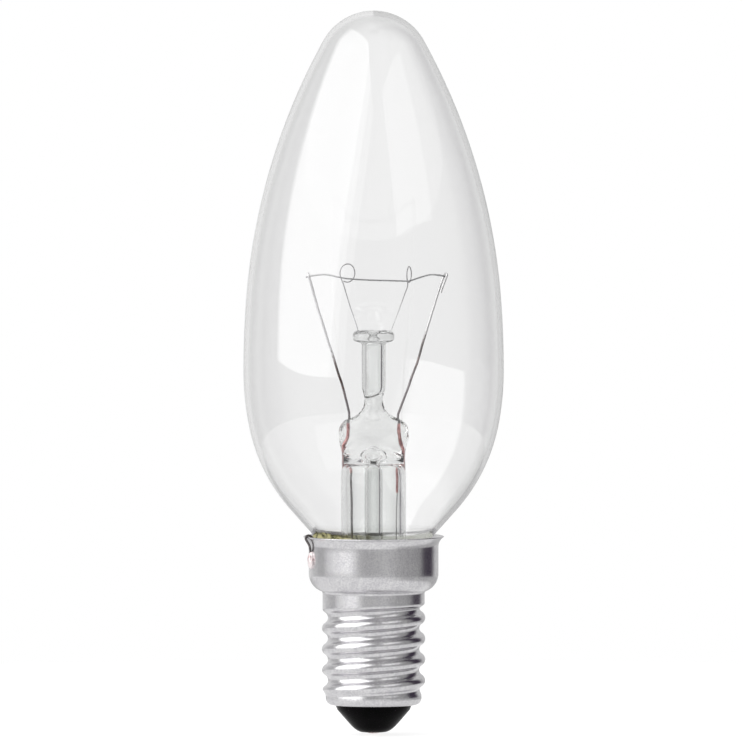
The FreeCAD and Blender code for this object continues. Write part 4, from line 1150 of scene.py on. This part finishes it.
def blob(name, centre, reach, lump, outward):
    """A lumpy drop round a centre; reach holds its half sizes across, outwards and up."""
    mesh = bpy.data.meshes.new(name)
    work = bmesh.new()
    bmesh.ops.create_icosphere(work, subdivisions=5, radius=1.0)
    across = outward.cross(Vector((0, 0, 1)))
    for vert in work.verts:
        size = 1 + lump * noise_vector(vert.co * 1.4 + Vector(centre)).x
        size += lump * 0.4 * noise_vector(vert.co * 4.0).y
        x, y, z = (share * half * size for share, half in zip(vert.co, reach))
        vert.co = (Vector(centre) + across * x + outward * y + Vector((0, 0, z))) * MM
    bmesh.ops.recalc_face_normals(work, faces=work.faces)
    work.to_mesh(mesh)
    work.free()
    mesh.shade_smooth()
    return add_object(name, mesh)


# Brighter where it is smooth, and a little pink from the copper in it
solder = mottled_metal("solder", (0.9,), ((0.62, 0.47, 0.47), (0.93, 0.86, 0.86)),
                       (0.62, 0.45), 0.003)
side_blob = blob("side_blob", at_side(8.78, 23.5), (0.64, 0.52, 1.15), 0.15,
                 Vector(at_side(1.0, 0.0)))
dress(side_blob, solder, ["side_solder"])
pip = turned("solder_pip", [(0, 1.3), (1.1, 1.3), (1.2, 0.9), (1.16, 0.45), (1.02, 0.24),
                            (0.78, 0.1), (0.45, 0.025), (0.2, 0.004), (0, 0)], 64)
dress(pip, solder, ["centre_solder"])
print("solder faces:", len(side_blob.data.polygons) + len(pip.data.polygons))

# %% Contact plate
brass = mottled_metal("contact_brass", (0.3, 3.0, 0.6),
                      ((0.45, 0.33, 0.16), (0.78, 0.62, 0.34)), (0.42, 0.26), 0.01)
plate = turned("contact_plate", [(0, 0.75), (1.44, 0.75), (1.44, 0.42), (1.38, 0.34),
                                 (1.28, 0.3), (0, 0.3)], 96)
dress(plate, brass, ["centre_contact"])
print("contact is on")

# %% [markdown]
# ## The cement
# A baked cement fills the gap between the sleeve and the neck of the glass. It is put in as a
# paste, so its top edge wanders, and on the left, where the lead runs through it, it stands above
# the rim. It sticks to the glass, and is seen through it: yellow-brown to olive, and grainy. It
# also glows a little in its own colour, painted light in place of what comes through the glass.

# %% Cement finish
# The cement's glow strength is painted light in its own colour, standing in for light through the
# glass
CEMENT_PAINTED_GLOW, PALE_FROM_TO = 0.45, (-5.0, 2.5)


def cement_finish():
    """Grainy yellow-brown cement, greener and darker in patches, and paler to the right."""
    material, place = new_material("cement")
    x = place.parts()[0]
    patch = noise(place, 1.0, 3.0, 0.6)
    grain = noise(place, 0.2, 3.0, 0.7)
    pale = over(x + (patch - 0.5) * (3.0 * MM), PALE_FROM_TO)
    colour = patch.smooth(0.42, 0.58).tint((0.030, 0.030, 0.007), (0.33, 0.31, 0.15))
    colour = grain.smooth(0.45, 0.75, 0.0, 0.5).tint(colour, (0.50, 0.46, 0.30))
    colour = pale.tint(colour, (0.70, 0.71, 0.66))
    # The emission is a painted glow: light painted into the cement in its own colour
    finish_surface(grain, {
        "Base Color": colour, "Roughness": grain.smooth(0.3, 0.7, 0.95, 0.75),
        "Normal": bump(grain, 0.06), "Emission Color": colour,
        "Emission Strength": CEMENT_PAINTED_GLOW})
    return material


print("cement finish is ready")

# %% Cement ring
CEMENT_FOOT, GLASS_GAP = 21.7, 0.05
LEVEL, MEAN_TOP, RIM_REACH = 26.0, 26.2, 8.8  # lowest and mean top, and its reach at the rim
HUMP_TURN, HUMP_RISE, HUMP_SPREAD = math.radians(212), 1.15, 0.62
WAVES = ((3, 0.10, 0.6), (7, 0.06, 0.0), (13, 0.05, 2.0))  # how many round, height and phase
IN_SHELL = ((8.6, 25.85), (8.48, 25.45), (8.45, 25.0), (8.45, 21.9), (8.0, CEMENT_FOOT))


def cement_top(turn):
    """How high the paste stands on the glass: a hump at the left front, and a few waves."""
    off = (turn - HUMP_TURN + math.pi) % (2 * math.pi) - math.pi
    hump = HUMP_RISE * np.exp(-(off / HUMP_SPREAD) ** 2)
    waves = sum(rise * np.sin(count * turn + phase) for count, rise, phase in WAVES)
    return MEAN_TOP + hump + waves


def at_glass(height):
    """The cement's inner radius at a height, just inside the glass's outer side."""
    return np.interp(height, outer[:30, 1], outer[:30, 0]) - GLASS_GAP


def cement_loops(turn):
    """Radius and height of each loop: up the glass, out over the top, and down the sleeve."""
    rise = cement_top(turn) - LEVEL
    heights = [*np.linspace(CEMENT_FOOT, LEVEL, 6)]
    heights += [LEVEL + rise * share for share in np.linspace(0.35, 1.0, 4)]
    loops = [(at_glass(height), height) for height in heights]
    start, top = loops[-1]
    for share in np.linspace(0.15, 1.0, 10):
        sag = (top - LEVEL - 0.15) * (1 - (1 - share) ** 2)
        loops.append((start + (RIM_REACH - start) * share, top - sag))
    return [*loops, *IN_SHELL]


def cement_ring(segments=160):
    """A ring between glass and sleeve, a little lumpy where its top is free."""
    turn = np.linspace(0, 2 * math.pi, segments, endpoint=False)
    loops = cement_loops(turn)
    points = np.concatenate([
        np.stack(np.broadcast_arrays(radius * np.cos(turn), radius * np.sin(turn), height), 1)
        for radius, height in loops])
    lumps = np.array([noise_vector(Vector(p) * 1.1) for p in points]) * 0.07
    free = ramp(points[:, 2], LEVEL, LEVEL + 0.6) * ramp(np.hypot(*points[:, :2].T), 7.0, 8.6)
    points += lumps * free[:, None]
    return mesh_object("cement_ring", points, grid_faces(len(loops), segments, closed=True))


cement = cement_ring()
dress(cement, cement_finish(), ["basing_cement"])
print("cement faces:", len(cement.data.polygons))
